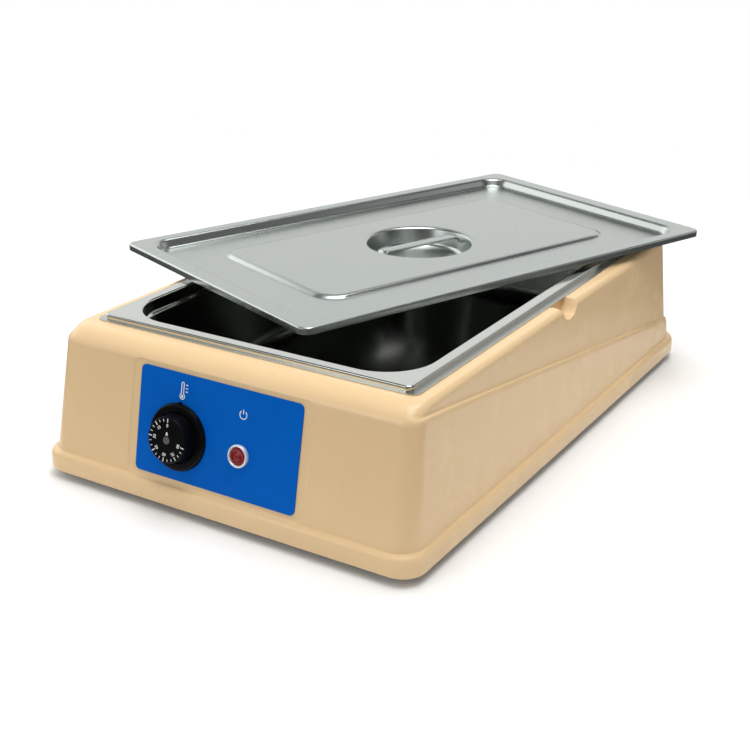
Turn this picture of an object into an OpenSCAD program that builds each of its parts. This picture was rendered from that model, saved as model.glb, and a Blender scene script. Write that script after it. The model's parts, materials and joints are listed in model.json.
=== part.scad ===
// Chocolate melting tank: a dry-heat bench warmer with a lift-out full-size pan and a loose lid.
// Millimetres. X to the right, Y to the rear, Z up; the origin is on the table under the middle of the base.

/* [Body] */
// Width over the base flange
body_width = 398; // [390:1:410]
// Depth over the base flange
body_depth = 624; // [614:1:640]
// Height from the flange's lower edge to the flat top of the moulding
body_height = 134.5; // [126:0.5:150]
// Free height under the flange, set by the feet
ground_gap = 8; // [6:0.5:14]
// Thickness of the moulded wall
wall = 4; // [3:0.25:5]
// Height of the base flange
flange_height = 18.5; // [15:0.5:24]
// How far the base flange stands out from the wall
flange_step = 5.5; // [4:0.5:7]
// Draft of the side walls in degrees
side_draft = 4; // [3:0.25:5]
// Lean of the front wall in degrees
front_lean = 11.1; // [8:0.1:12]
// Lean of the rear wall in degrees
rear_lean = 6.5; // [4:0.25:8]
// Plan corner radius of the rear walls
rear_corner = 30; // [24:1:33]
// Plan corner radius of the front wall at its foot
front_corner = 16; // [13:0.5:20]
// Plan corner radius of the front wall at its top
front_corner_top = 12; // [11.5:0.5:16]
// Plan corner radius of the base flange at the rear
flange_rear_corner = 32; // [26:1:36]
// Plan corner radius of the base flange at the front
flange_corner = 18; // [14:1:24]

/* [Shoulder] */
// Height of the shoulder line at the front, below the flat top
shoulder_below_top = 9.5; // [9:0.25:16]
// Fall of the shoulder line for each millimetre to the rear
shoulder_slope = 0.153; // [0.12:0.001:0.16]
// Inset of the upper tier
shoulder_step = 3; // [2:0.25:4.5]
// Height of the rounded shoulder band
shoulder_band = 5; // [3:0.5:6]
// Radius of the finger scoops
scoop_radius = 18; // [14:0.5:22]
// Depth of the finger scoops below the flat top
scoop_depth = 14.5; // [10:0.5:17]
// Middle of the finger scoops, to the rear
scoop_y = 14; // [0:1:30]

/* [Pan] */
// Length of the pan over its rim, the standard full size
pan_length = 530; // [526:1:532]
// Width of the pan over its rim
pan_width = 325; // [321:1:327]
// Depth of the pan
pan_depth = 100; // [92:1:104]
// Width of the pan's flat rim
rim_width = 12; // [11:0.5:15]
// Height of the rim's turned-down lip
rim_lip = 5; // [4:0.25:7]
// Shift of the pan's middle to the rear
pan_shift = 10; // [8:0.5:14]
// Thickness of the steel sheet
sheet = 1; // [0.8:0.1:1.2]

/* [Lid] */
// Length of the lid
lid_length = 528; // [524:1:532]
// Width of the lid
lid_width = 329; // [324:1:332]
// Height of the lid's turned-down lip
lid_lip = 6.5; // [4:0.25:7]
// Where the lid's middle lies to the right of the pan's middle
lid_side = -27; // [-32:0.5:-20]
// Where the lid's middle lies to the rear of the pan's middle
lid_back = 81; // [60:0.5:86]
// Turn of the lid seen from above in degrees
lid_turn = -21; // [-24:0.05:-18]
// Depth of the lid's channel
lid_channel = 9; // [8:0.25:11]
// Height of the raised middle above the channel
lid_rise = 4; // [3:0.25:5]
// Radius of the handle cup
cup_radius = 59; // [54:0.5:64]
// Depth of the handle cup below the raised middle
cup_depth = 21.5; // [19:0.5:24]
// Width of the handle strap
strap_width = 14; // [12:0.5:18]

/* [Controls] */
// Width of the control panel
panel_width = 171; // [160:1:176]
// Height of the control panel along the slope
panel_height = 96; // [90:0.5:97]
// Middle of the control panel, to the right
panel_x = -3.9; // [-8:0.1:0]
// Middle of the control panel above the flange, along the slope
panel_s = 53.9; // [53.5:0.1:55]
// Middle of the knob, to the right
knob_x = -44; // [-48:0.5:-40]
// Middle of the knob above the flange, along the slope
knob_s = 45; // [42:0.5:50]
// Diameter of the knob at its foot
knob_diameter = 44; // [40:0.5:46]
// Height of the knob's face above the panel
knob_height = 16; // [15:0.5:20]
// Diameter of the fixed ring round the knob
bezel_diameter = 60; // [56:0.5:62]
// Middle of the pilot lamp, to the right
lamp_x = 21.5; // [16:0.1:26]
// Middle of the pilot lamp above the flange, along the slope
lamp_s = 43.9; // [40:0.1:50]
// Diameter of the pilot lamp's ring
lamp_diameter = 20; // [18:0.5:22]

/* [Hidden] */

// Fits shared by the pieces
hole_clearance = 0.2;
shaft_clearance = 0.05;
turn_gap = 0.6;
wire_gap = 0.1;
corner_steps = 10;
ring_points = 4 * (corner_steps + 1);
$fn = 40;

// Heights of the stack, from the table upward
plate_sheet = 1.5;
plate_recess = 3;
plate_z = ground_gap + plate_recess;
plate_top = plate_z + plate_sheet;
land_z = ground_gap + body_height;
seat_z = land_z + sheet;
rim_z = seat_z + rim_lip;
pan_floor_z = rim_z - pan_depth;
well_gap = 4;
well_floor_z = pan_floor_z - well_gap;
mat_thick = 3;
pad_thick = 12;
mat_z = well_floor_z - sheet - mat_thick;
pad_z = mat_z - pad_thick;
shield_z = pad_z - sheet;

// Plan sizes of the well and of the opening in the moulding
well_room = 8;
well_half_x = pan_width / 2 - rim_width + well_room - 0.5;
well_half_y = pan_length / 2 - rim_width + well_room - 0.5;
well_corner = 39;
well_seat_side = 6.5;
well_seat_end = 3;
well_seat_corner = 8;
well_floor_round = 8;
opening_gap = 2;
opening_half_x = well_half_x + opening_gap;
opening_half_y = well_half_y + opening_gap;

// Shape of the moulding
edge_round = 1.5;
flange_round = 7.5;
top_round = 6;
front_round = 18;
shoulder_z = body_height - shoulder_below_top;
front_y = flange_step - body_depth / 2;
front_wall = wall * cos(front_lean);
rear_y = body_depth / 2 - flange_step - shoulder_step;
rear_wall = wall * cos(rear_lean);
knee_y = front_y + (shoulder_z - flange_height) * tan(front_lean) + front_corner;

// Lid heights: the underside of its channel rests on the pan's rim
lid_z = rim_z + sheet + lid_channel;

// Fasteners
screw_r = 1.5;
screw_head_r = 3.2;
screw_head = 2.2;
bolt_r = 2;
bolt_head_r = 3.8;
nut_r = 4.04;
nut_thick = 3.2;

// A closed loop of points: a rounded rectangle between front y0 and rear y1, with rear and front corner radii
function ring(hx, y0, y1, rear_r, front_r, z) = [for (c = [0:3], i = [0:corner_steps])
    let (a = 90 * (c + i / corner_steps), sx = c == 0 || c == 3 ? 1 : -1, r = c < 2 ? rear_r : front_r)
    [sx * (hx - r) + r * cos(a), (c < 2 ? y1 - r : y0 + r) + r * sin(a), z]];
function box_ring(hx, hy, r, z) = ring(hx, -hy, hy, r, r, z);
function flat(points) = [for (p = points) [p[0], p[1]]];
function round_ring(r, z) = [for (i = [0:ring_points - 1])
    let (a = 360 * (i + 0.5) / ring_points) [r * cos(a), r * sin(a), z]];
function rounded(hx, hy, r) = flat(box_ring(hx, hy, r, 0));

// A point of the moulding's wall: quadrant c, angle a, height z, inset t from the lower tier,
// inset tf at the front, corner radius smaller by dr
function wall_point(c, a, z, t, tf, dr) =
    let (up = z - flange_height, sx = c == 0 || c == 3 ? 1 : -1,
        narrowing = (front_corner - front_corner_top) * up / (body_height - flange_height),
        r = (c < 2 ? rear_corner : front_corner - narrowing) - dr,
        side = flange_step + up * tan(side_draft) + t,
        front = flange_step + up * tan(front_lean) + tf,
        rear = flange_step + up * tan(rear_lean) + t)
    [sx * (body_width / 2 - side - r) + r * cos(a),
        (c < 2 ? body_depth / 2 - rear - r : front - body_depth / 2 + r) + r * sin(a), z];
function wall_ring(z, t, tf, dr) = [for (c = [0:3], i = [0:corner_steps])
    wall_point(c, 90 * (c + i / corner_steps), z, t, tf, dr)];
function shoulder_at(y) = shoulder_z - shoulder_slope * max(0, y - knee_y);
function shoulder_ring(drop, t) = [for (c = [0:3], i = [0:corner_steps])
    let (a = 90 * (c + i / corner_steps),
        first = wall_point(c, a, c < 2 ? shoulder_at(rear_y - rear_corner) : shoulder_z, t, t, t))
    wall_point(c, a, shoulder_at(first[1]) - drop, t, t, t)];
function flange_ring(t, z) = ring(body_width / 2 - t, t - body_depth / 2, body_depth / 2 - t,
    flange_rear_corner + (rear_corner - flange_rear_corner) * t / flange_step,
    flange_corner + (front_corner - flange_corner) * t / flange_step, z);

// Skin through a list of rings; a shut skin joins the last ring to the first instead of capping both ends
module skin(rings, shut = false) {
    n = len(rings[0]);
    last = len(rings) - 1;
    sides = [for (k = [0:shut ? last : last - 1], i = [0:n - 1])
        let (m = (k + 1) % (last + 1), j = (i + 1) % n,
            a = k * n + i, b = m * n + i, c = m * n + j, d = k * n + j)
        each [[a, b, c], [a, c, d]]];
    caps = shut ? [] : [[for (i = [0:n - 1]) i], [for (i = [n - 1:-1:0]) last * n + i]];
    polyhedron(points = [for (k = rings) each k], faces = concat(sides, caps));
}

// A round wire along a list of points; the reference line is never along the wire
function unit(v) = v / norm(v);
function bend(p0, p1, p2, p3, n) = [for (i = [0:n]) let (t = i / n, u = 1 - t)
    u * u * u * p0 + 3 * u * u * t * p1 + 3 * u * t * t * p2 + t * t * t * p3];
function tail(points) = [for (i = [1:len(points) - 1]) points[i]];
// Straight lead of a wire where it leaves a face of the thermostat, up or down the front wall's slope
wire_lead = 3;
slope_up = [0, sin(front_lean), cos(front_lean)];
module wire(path, r) {
    sides = 8;
    reference = [0.31, 0.17, 0.94];
    last = len(path) - 1;
    skin([for (k = [0:last])
        let (along = unit(path[min(k + 1, last)] - path[max(k - 1, 0)]),
            u = unit(cross(along, reference)), v = cross(along, u))
        [for (i = [0:sides - 1]) path[k] + r * (cos(360 * i / sides) * u + sin(360 * i / sides) * v)]]);
}

// Placing on the leaning front and rear walls; s runs up the front wall, out points away from it
function front_point(x, s, out) = [x, front_y + s * sin(front_lean) - out * cos(front_lean),
    ground_gap + flange_height + s * cos(front_lean) + out * sin(front_lean)];
module on_front(x, s, out = 0) {
    translate(front_point(x, s, out)) rotate([90 - front_lean, 0, 0]) children();
}
gland_x = -60;
gland_s = 44;
module on_rear(out = 0) {
    translate([gland_x, rear_y - gland_s * sin(rear_lean) + out * cos(rear_lean),
        ground_gap + flange_height + gland_s * cos(rear_lean) + out * sin(rear_lean)])
        rotate([rear_lean - 90, 0, 0]) children();
}
module tube(outer, inner, height) {
    difference() {
        cylinder(r = outer, h = height);
        translate([0, 0, -1]) cylinder(r = inner, h = height + 2);
    }
}
module hex(r, bore, height) {
    difference() {
        linear_extrude(height) circle(r = r, $fn = 6);
        translate([0, 0, -1]) cylinder(r = bore, h = height + 2);
    }
}
// A slotted pan-head screw pointing up, its head seat at height 0
module screw(r, head_r, head, length) {
    slot_width = 1;
    slot_depth = 0.9;
    difference() {
        translate([0, 0, -head]) cylinder(r = head_r, h = head);
        translate([-head_r, -slot_width / 2, -head - 1]) cube([2 * head_r, slot_width, slot_depth + 1]);
    }
    translate([0, 0, -0.01]) cylinder(r = r, h = length + 0.01);
}

// Places of the repeated pieces
boss_inset = 7.5;
boss_r = 4.5;
boss_height = 11.5;
boss_x = body_width / 2 - boss_inset;
boss_y = body_depth / 2 - boss_inset;
side_pitch = body_depth / 2 - 112;
base_screw_places = [for (sx = [-1, 1], k = [-1:1]) [sx * boss_x, k * side_pitch],
    [0, -boss_y], [0, boss_y]];
foot_inset = [49, 62];
foot_x = body_width / 2 - foot_inset[0];
foot_y = body_depth / 2 - foot_inset[1];
foot_places = [for (sx = [-1, 1], sy = [-1, 1]) [sx * foot_x, sy * foot_y]];
post_inset = [48, 80.5];
post_places = [for (sx = [-1, 1], k = [-1:1])
    [sx * (well_half_x - post_inset[0]), pan_shift + k * (well_half_y - post_inset[1])]];
block_x = -110;
block_depth = 18;
block_y = pan_shift + well_half_y + sheet + 4 + block_depth / 2;
block_fix = 16;
block_places = [for (s = [-1, 1]) [block_x + s * block_fix, block_y]];
earth_place = [-20, block_y];
clamp_places = [for (sx = [-1, 1], y = [-140, 140]) [sx, pan_shift + y]];
clamp_drop = 12;
thermostat_pitch = 14;
module at(places) {
    for (p = places) translate([p[0], p[1], 0]) children();
}

// Cream moulded housing: base flange, leaning walls, falling shoulder line, flat top with the well's opening
module body_shell() {
    scoop_wall = 4;
    scoop_in = pan_width / 2 + well_seat_side - 3;
    scoop_end = body_width / 2 - flange_step - (body_height - flange_height) * tan(side_draft)
        - shoulder_step - 2;
    scoop_z = body_height + scoop_radius - scoop_depth;
    recess_side = 9;
    recess_end = 4.3;
    recess_corner = 9;
    top_narrowing = 0.7 * top_round;
    arc = [0:15:90];
    outer = [flange_ring(edge_round, 0), flange_ring(0, edge_round),
        for (t = [0:30:90])
            flange_ring(flange_step * (1 - cos(t)), flange_height - flange_round * (1 - sin(t))),
        for (t = [0:30:90]) shoulder_ring(shoulder_band * (1 - sin(t)), shoulder_step * (1 - cos(t))),
        for (t = arc) wall_ring(body_height - top_round * (1 - sin(t)),
            shoulder_step + top_round * (1 - cos(t)), shoulder_step + front_round * (1 - cos(t)),
            shoulder_step + top_narrowing * (1 - cos(t)))];
    inner = [for (drop = [0, wall])
            ring(opening_half_x, pan_shift - opening_half_y, pan_shift + opening_half_y,
                well_corner + opening_gap, well_corner + opening_gap, body_height - drop),
        wall_ring(body_height - wall, shoulder_step + top_round + 1, shoulder_step + front_round + 1,
            shoulder_step + top_narrowing + 1),
        wall_ring(body_height - top_round - wall, shoulder_step + wall, shoulder_step + wall,
            shoulder_step + wall),
        shoulder_ring(shoulder_band + 1, shoulder_step + wall),
        shoulder_ring(shoulder_band + shoulder_step + 1, wall),
        wall_ring(flange_height - 1, wall, wall, wall),
        flange_ring(wall, plate_recess + plate_sheet + 1.5), flange_ring(wall, 0)];
    color([0.9, 0.78, 0.6]) difference() {
        translate([0, 0, ground_gap]) difference() {
            union() {
                skin(concat(outer, inner), true);
                for (s = [-1, 1]) translate([s * (scoop_in + scoop_end - scoop_wall) / 2, scoop_y, scoop_z])
                    rotate([0, 90, 0]) intersection() {
                        cylinder(r = scoop_radius + scoop_wall, h = scoop_end - scoop_in + scoop_wall,
                            center = true);
                        translate([scoop_z - body_height + wall - 1, -50, -50]) cube(100);
                    }
                translate([0, 0, plate_top - ground_gap]) at(base_screw_places)
                    cylinder(r = boss_r, h = boss_height);
            }
            for (s = [0, 1]) mirror([s, 0, 0]) translate([scoop_in, scoop_y, scoop_z])
                rotate([0, 90, 0]) cylinder(r = scoop_radius, h = 60);
        }
        translate([0, 0, plate_top - 1]) at(base_screw_places) cylinder(r = screw_r + 0.1, h = 10);
        on_front(panel_x, panel_s, -recess)
            linear_extrude(30)
                polygon(rounded(panel_width / 2 + recess_side, panel_height / 2 + recess_end, recess_corner));
        on_front(knob_x, knob_s, -12) cylinder(r = shaft_hole_r, h = 24);
        on_front(lamp_x, lamp_s, -12) cylinder(r = lamp_stem_r + hole_clearance, h = 24);
        for (s = [-1, 1]) on_front(knob_x + s * thermostat_pitch, knob_s, -12)
            cylinder(r = bolt_r + hole_clearance, h = 24);
        on_rear(-12) cylinder(r = gland_r + hole_clearance, h = 24);
    }
}

// Steel sheet closing the underside, with cooling slots
module base_plate() {
    edge_gap = 0.7;
    slot = [44, 5];
    slot_pitch = 25;
    color([0.62, 0.64, 0.64]) translate([0, 0, plate_z]) difference() {
        linear_extrude(plate_sheet) polygon(flat(flange_ring(wall + edge_gap, 0)));
        translate([0, 0, -1]) at(base_screw_places) cylinder(r = screw_r + 2 * hole_clearance, h = 5);
        translate([0, 0, -1]) at(concat(foot_places, post_places, block_places))
            cylinder(r = bolt_r + hole_clearance, h = 5);
        translate([0, 0, -1]) at([earth_place]) cylinder(r = earth_r + hole_clearance, h = 5);
        for (k = [-3:3]) translate([0, pan_shift + k * slot_pitch, -1])
            linear_extrude(5) polygon(rounded(slot[0] / 2, slot[1] / 2, slot[1] / 2 - 0.1));
    }
}

// Screws that hold the base plate to the moulding's bosses
module base_screws() {
    color([0.75, 0.76, 0.78]) translate([0, 0, plate_z]) at(base_screw_places)
        screw(screw_r, screw_head_r, screw_head, plate_sheet + 8);
}

// Screws up through the base plate into the shield's posts and the terminal block
chassis_bite = 7;
module chassis_screws() {
    color([0.75, 0.76, 0.78]) translate([0, 0, plate_z]) at(concat(post_places, block_places))
        screw(bolt_r, bolt_head_r, screw_head, plate_sheet + chassis_bite);
}

// Rubber feet with a deep recess for the screw
foot_recess = 4;
foot_seat = plate_z - foot_recess - 2.5;
module rubber_feet() {
    foot_r = 15;
    color([0.07, 0.07, 0.07]) at(foot_places) difference() {
        rotate_extrude()
            polygon([[0, 0], [foot_r - 1, 0], [foot_r, 1], [foot_r - 1.5, plate_z], [0, plate_z]]);
        translate([0, 0, -1]) cylinder(r = bolt_head_r + 2, h = foot_seat + 1);
        translate([0, 0, -1]) cylinder(r = bolt_r + hole_clearance, h = plate_z + 2);
    }
}
module foot_screws() {
    color([0.75, 0.76, 0.78]) translate([0, 0, foot_seat]) at(foot_places)
        screw(bolt_r, bolt_head_r, screw_head, plate_top - foot_seat + nut_thick + 1);
}
module foot_nuts() {
    color([0.75, 0.76, 0.78]) translate([0, 0, plate_top]) at(foot_places)
        hex(nut_r, bolt_r + 0.1, nut_thick);
}

// Pressed steel well that the pan hangs in, with its seat on the moulding and studs for the clamps
module heating_well() {
    ox = well_half_x + sheet;
    oy = well_half_y + sheet;
    under = well_floor_z - sheet;
    seat_x = pan_width / 2 + well_seat_side;
    seat_y = pan_length / 2 + well_seat_end;
    f = well_floor_round;
    color([0.7, 0.73, 0.72]) union() {
        translate([0, pan_shift, 0]) skin(concat(
            [for (t = [0:30:90]) let (g = f * (1 - sin(t)))
                box_ring(ox - g, oy - g, well_corner - g, under + f * (1 - cos(t)))],
            [box_ring(ox, oy, well_corner, land_z),
                box_ring(seat_x, seat_y, well_seat_corner, land_z),
                box_ring(seat_x, seat_y, well_seat_corner, seat_z),
                box_ring(well_half_x, well_half_y, well_corner - sheet, seat_z)],
            [for (t = [90:-30:0]) let (g = f - sheet)
                box_ring(well_half_x - g * (1 - sin(t)), well_half_y - g * (1 - sin(t)),
                    well_corner - sheet - g * (1 - sin(t)), well_floor_z + g * (1 - cos(t)))]));
        for (p = clamp_places) translate([p[0] * (ox - 0.3), p[1], land_z - wall - clamp_drop])
            rotate([0, p[0] * 90, 0]) cylinder(r = bolt_r, h = clamp_sheet + nut_thick + 1.5);
    }
}

// Angle clamps on the well's studs, hooked under the moulding's flat top
clamp_sheet = 1.5;
module well_clamps() {
    length = 22;
    reach = 12;
    leg = clamp_drop + 8;
    color([0.68, 0.7, 0.7]) for (p = clamp_places)
        translate([p[0] * (well_half_x + sheet), p[1], land_z - wall]) mirror([p[0] < 0 ? 1 : 0, 0, 0])
        difference() {
            rotate([90, 0, 0]) translate([0, 0, -length / 2]) linear_extrude(length)
                polygon([[0, 0], [reach, 0], [reach, -clamp_sheet], [clamp_sheet, -clamp_sheet],
                    [clamp_sheet, -leg], [0, -leg]]);
            translate([-1, 0, -clamp_drop]) rotate([0, 90, 0]) cylinder(r = bolt_r + hole_clearance, h = 5);
        }
}
module clamp_nuts() {
    color([0.75, 0.76, 0.78]) for (p = clamp_places)
        translate([p[0] * (well_half_x + sheet + clamp_sheet), p[1], land_z - wall - clamp_drop])
            rotate([0, p[0] * 90, 0]) hex(nut_r, bolt_r + 0.1, nut_thick);
}

// Silicone heating mat under the well, felt below it, and the steel tray that carries both
mat_half_x = well_half_x - 15;
mat_half_y = well_half_y - 18;
module heater_mat() {
    color([0.75, 0.3, 0.12]) translate([0, pan_shift, mat_z])
        linear_extrude(mat_thick) polygon(rounded(mat_half_x, mat_half_y, 20));
}
pad_half_x = well_half_x - 9;
pad_half_y = well_half_y - 9;
pad_corner = 24;
module insulation_pad() {
    color([0.9, 0.88, 0.8]) translate([0, pan_shift, pad_z])
        linear_extrude(pad_thick) polygon(rounded(pad_half_x, pad_half_y, pad_corner));
}
module heat_shield() {
    rim = 9;
    g = 0.3;
    color([0.72, 0.73, 0.74]) translate([0, pan_shift, shield_z]) difference() {
        linear_extrude(rim)
            polygon(rounded(pad_half_x + sheet + g, pad_half_y + sheet + g, pad_corner + sheet));
        translate([0, 0, sheet]) linear_extrude(rim)
            polygon(rounded(pad_half_x + g, pad_half_y + g, pad_corner));
    }
}
module shield_posts() {
    color([0.8, 0.75, 0.55]) translate([0, 0, plate_top]) at(post_places) difference() {
        cylinder(r = 5, h = shield_z - plate_top);
        translate([0, 0, -1]) cylinder(r = bolt_r + 0.1, h = chassis_bite + 2);
    }
}

// Blue control panel in the recess of the front wall
recess = 0.8;
panel_thick = 1;
panel_out = panel_thick - recess;
shaft_hole_r = 6;
lamp_stem_r = 6;
module control_panel() {
    corner = 5;
    color([0.0, 0.33, 0.68]) difference() {
        on_front(panel_x, panel_s, -recess)
            linear_extrude(panel_thick) polygon(rounded(panel_width / 2, panel_height / 2, corner));
        on_front(knob_x, knob_s, -3) cylinder(r = shaft_hole_r, h = 6);
        on_front(lamp_x, lamp_s, -3) cylinder(r = lamp_stem_r + hole_clearance, h = 6);
        for (s = [-1, 1]) on_front(knob_x + s * thermostat_pitch, knob_s, -3)
            cylinder(r = bolt_r + hole_clearance, h = 6);
    }
}

// Capillary thermostat behind the wall: case, two fixing screws, shaft, ring, knob and its centre cap
shaft_r = 3;
shaft_back = 20;
shaft_flat = 1;
thermostat_size = 42;
thermostat_depth = 30;
tab_x = 10;
module thermostat_body() {
    color([0.85, 0.83, 0.76]) on_front(knob_x, knob_s, -front_wall - thermostat_depth) difference() {
        union() {
            linear_extrude(thermostat_depth) polygon(rounded(thermostat_size / 2, thermostat_size / 2, 3));
            for (s = [-1, 1]) translate([s * tab_x - tab_width / 2, -5, 1 - tab_length])
                cube([tab_width, tab_sheet, tab_length]);
        }
        translate([0, 0, thermostat_depth - shaft_back - 0.5])
            cylinder(r = shaft_r + shaft_clearance, h = shaft_back + 2);
        for (s = [-1, 1]) translate([s * thermostat_pitch, 0, thermostat_depth - 8])
            cylinder(r = bolt_r + 0.1, h = 9);
    }
}
module thermostat_screws() {
    color([0.75, 0.76, 0.78]) for (s = [-1, 1]) on_front(knob_x + s * thermostat_pitch, knob_s, panel_out)
        rotate([180, 0, 0]) screw(bolt_r, bolt_head_r, screw_head, panel_out + front_wall + 6);
}
module thermostat_shaft() {
    color([0.7, 0.7, 0.68]) on_front(knob_x, knob_s, -front_wall - shaft_back) difference() {
        cylinder(r = shaft_r, h = front_wall + shaft_back + shaft_end);
        translate([shaft_r - shaft_flat, -5, front_wall + shaft_back + hub_z]) cube([5, 10, 30]);
    }
}
knob_r = knob_diameter / 2;
knob_gap = 0.8;
hub_z = 4;
shaft_end = knob_height - 5;
module knob_bezel() {
    outer = bezel_diameter / 2;
    height = 3.6;
    bevel = 2.4;
    index = 2;
    color([0.05, 0.05, 0.05]) on_front(knob_x, knob_s, panel_out) union() {
        rotate_extrude($fn = 72) polygon([[knob_r + turn_gap, 0], [outer, 0], [outer, height - bevel],
            [outer - bevel, height], [knob_r + turn_gap, height]]);
        linear_extrude(height - bevel) polygon([[-index, outer - 1], [index, outer - 1], [0, outer + index]]);
    }
}
module thermostat_knob() {
    taper = 1.5;
    crown = 1;
    shell = 2.2;
    roof = 3;
    hub_r = 6;
    inside = knob_height - roof;
    color([0.05, 0.05, 0.05]) on_front(knob_x, knob_s, panel_out) difference() {
        union() {
            rotate_extrude($fn = 72) polygon([[0, inside], [knob_r - taper - shell, inside],
                [knob_r - shell, knob_gap], [knob_r, knob_gap], [knob_r - taper, knob_height - crown],
                [knob_r - taper - crown, knob_height], [0, knob_height]]);
            translate([0, 0, hub_z]) cylinder(r = hub_r, h = inside - hub_z + 0.5);
        }
        translate([0, 0, hub_z - 1]) difference() {
            cylinder(r = shaft_r + shaft_clearance, h = shaft_end - panel_out - hub_z + 1.3);
            translate([shaft_r - shaft_flat + shaft_clearance, -5, -1]) cube([5, 10, 30]);
        }
        translate([0, 0, knob_height - cap_seat]) cylinder(r = cap_r + 0.05, h = 5);
    }
}
cap_r = 3.3;
cap_seat = 1;
module knob_cap() {
    proud = 0.3;
    groove = 0.25;
    color([0.5, 0.52, 0.52]) on_front(knob_x, knob_s, panel_out + knob_height - cap_seat) difference() {
        cylinder(r = cap_r, h = cap_seat + proud);
        translate([0, 0, cap_seat + proud - groove]) tube(2.4, 1.7, 1);
        translate([0, 0, cap_seat + proud - groove]) cylinder(r = 0.7, h = 1);
    }
}

// Sensor of the thermostat, clipped to the well's front wall
bulb_r = 3;
bulb_length = 70;
bulb_x = 0;
bulb_z = ground_gap + 70;
well_front = pan_shift - well_half_y - sheet;
bulb_y = well_front - bulb_r - 0.1;
module capillary_tube() {
    start = front_point(knob_x + 8, knob_s + thermostat_size / 2 + wire_gap, -front_wall - 15);
    end = [bulb_x - bulb_length / 2 - wire_gap, bulb_y, bulb_z];
    top = start + wire_lead * slope_up;
    side = end - [wire_lead, 0, 0];
    color([0.72, 0.42, 0.25]) wire(concat([start], bend(top, top + [-4, 2, 19], side + [-22, 0, 4], side, 16),
        [end]), 1);
}
module sensor_bulb() {
    color([0.72, 0.42, 0.25]) translate([bulb_x - bulb_length / 2, bulb_y, bulb_z])
        rotate([0, 90, 0]) cylinder(r = bulb_r, h = bulb_length);
}
module bulb_clips() {
    width = 8;
    thick = 0.8;
    ear = 5;
    inner = bulb_r + 0.1;
    color([0.72, 0.74, 0.75]) for (s = [-1, 1]) translate([bulb_x + s * 22 - width / 2, well_front, bulb_z])
        rotate([90, 0, 90]) linear_extrude(width) difference() {
            union() {
                translate([-bulb_r - 0.1, 0]) circle(r = inner + thick);
                translate([-thick, -inner - ear]) square([thick, 2 * (inner + ear)]);
                translate([-bulb_r - 0.1, -inner - thick]) square([bulb_r + 0.1, 2 * (inner + thick)]);
            }
            translate([-bulb_r - 0.1, 0]) circle(r = inner);
            translate([0, -20]) square(40);
            translate([-bulb_r - 0.1, -inner]) square([20, 2 * inner]);
        }
}

// Safety cut-out disc on the well's front wall, with push-on tabs like the thermostat's and the lamp's
cutout_x = -115;
tab_width = 6;
tab_sheet = 0.8;
tab_length = 8;
module thermal_cutout() {
    can_r = 8;
    can_height = 9;
    ear_x = 17;
    ear_sheet = 1.2;
    color([0.2, 0.2, 0.2]) translate([cutout_x, well_front, bulb_z]) rotate([90, 0, 0]) union() {
        linear_extrude(ear_sheet) polygon(rounded(ear_x, can_r, can_r - 2));
        cylinder(r = can_r, h = can_height);
        for (s = [-1, 1]) translate([s * can_r / 2 - tab_sheet / 2, -tab_width / 2, can_height - 1])
            cube([tab_sheet, tab_width, tab_length]);
    }
}

// Neon pilot lamp: ring and lens in front, stem through panel and wall, spring nut behind
lamp_r = lamp_diameter / 2;
lens_r = 7.2;
lens_out = 1.8;
lens_edge = 0.6;
lens_seat = 1;
module lamp_bezel() {
    height = 3.4;
    bevel = 1;
    color([0.85, 0.86, 0.86]) on_front(lamp_x, lamp_s, panel_out) difference() {
        rotate_extrude() polygon([[0, 0], [lamp_r, 0], [lamp_r, bevel], [lamp_r - bevel, height],
            [lens_r + 0.1, height], [lens_r + 0.1, lens_seat], [0, lens_seat]]);
        translate([0, 0, -1]) cylinder(r = lamp_stem_r + hole_clearance, h = 5);
    }
}
module lamp_lens() {
    color([0.5, 0.02, 0.03]) on_front(lamp_x, lamp_s, panel_out + lens_seat) rotate_extrude()
        polygon([[0, 0], [lens_r, 0], [lens_r, lens_edge], [lens_r - lens_out, lens_out],
            [0, lens_out + lens_edge]]);
}
lamp_back = 26;
lamp_tab = 5;
lamp_tab_x = 3;
module lamp_body() {
    color([0.88, 0.86, 0.8]) on_front(lamp_x, lamp_s, -front_wall - lamp_back) union() {
        cylinder(r = lamp_stem_r, h = front_wall + lamp_back + panel_out + lens_seat);
        for (s = [-1, 1]) translate([s * lamp_tab_x - tab_sheet / 2, -lamp_tab / 2, 1 - tab_length])
            cube([tab_sheet, lamp_tab, tab_length]);
    }
}
module lamp_nut() {
    thick = 3;
    color([0.3, 0.3, 0.3]) on_front(lamp_x, lamp_s, -front_wall - thick)
        tube(lamp_stem_r + 3, lamp_stem_r + shaft_clearance, thick);
}

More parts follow.
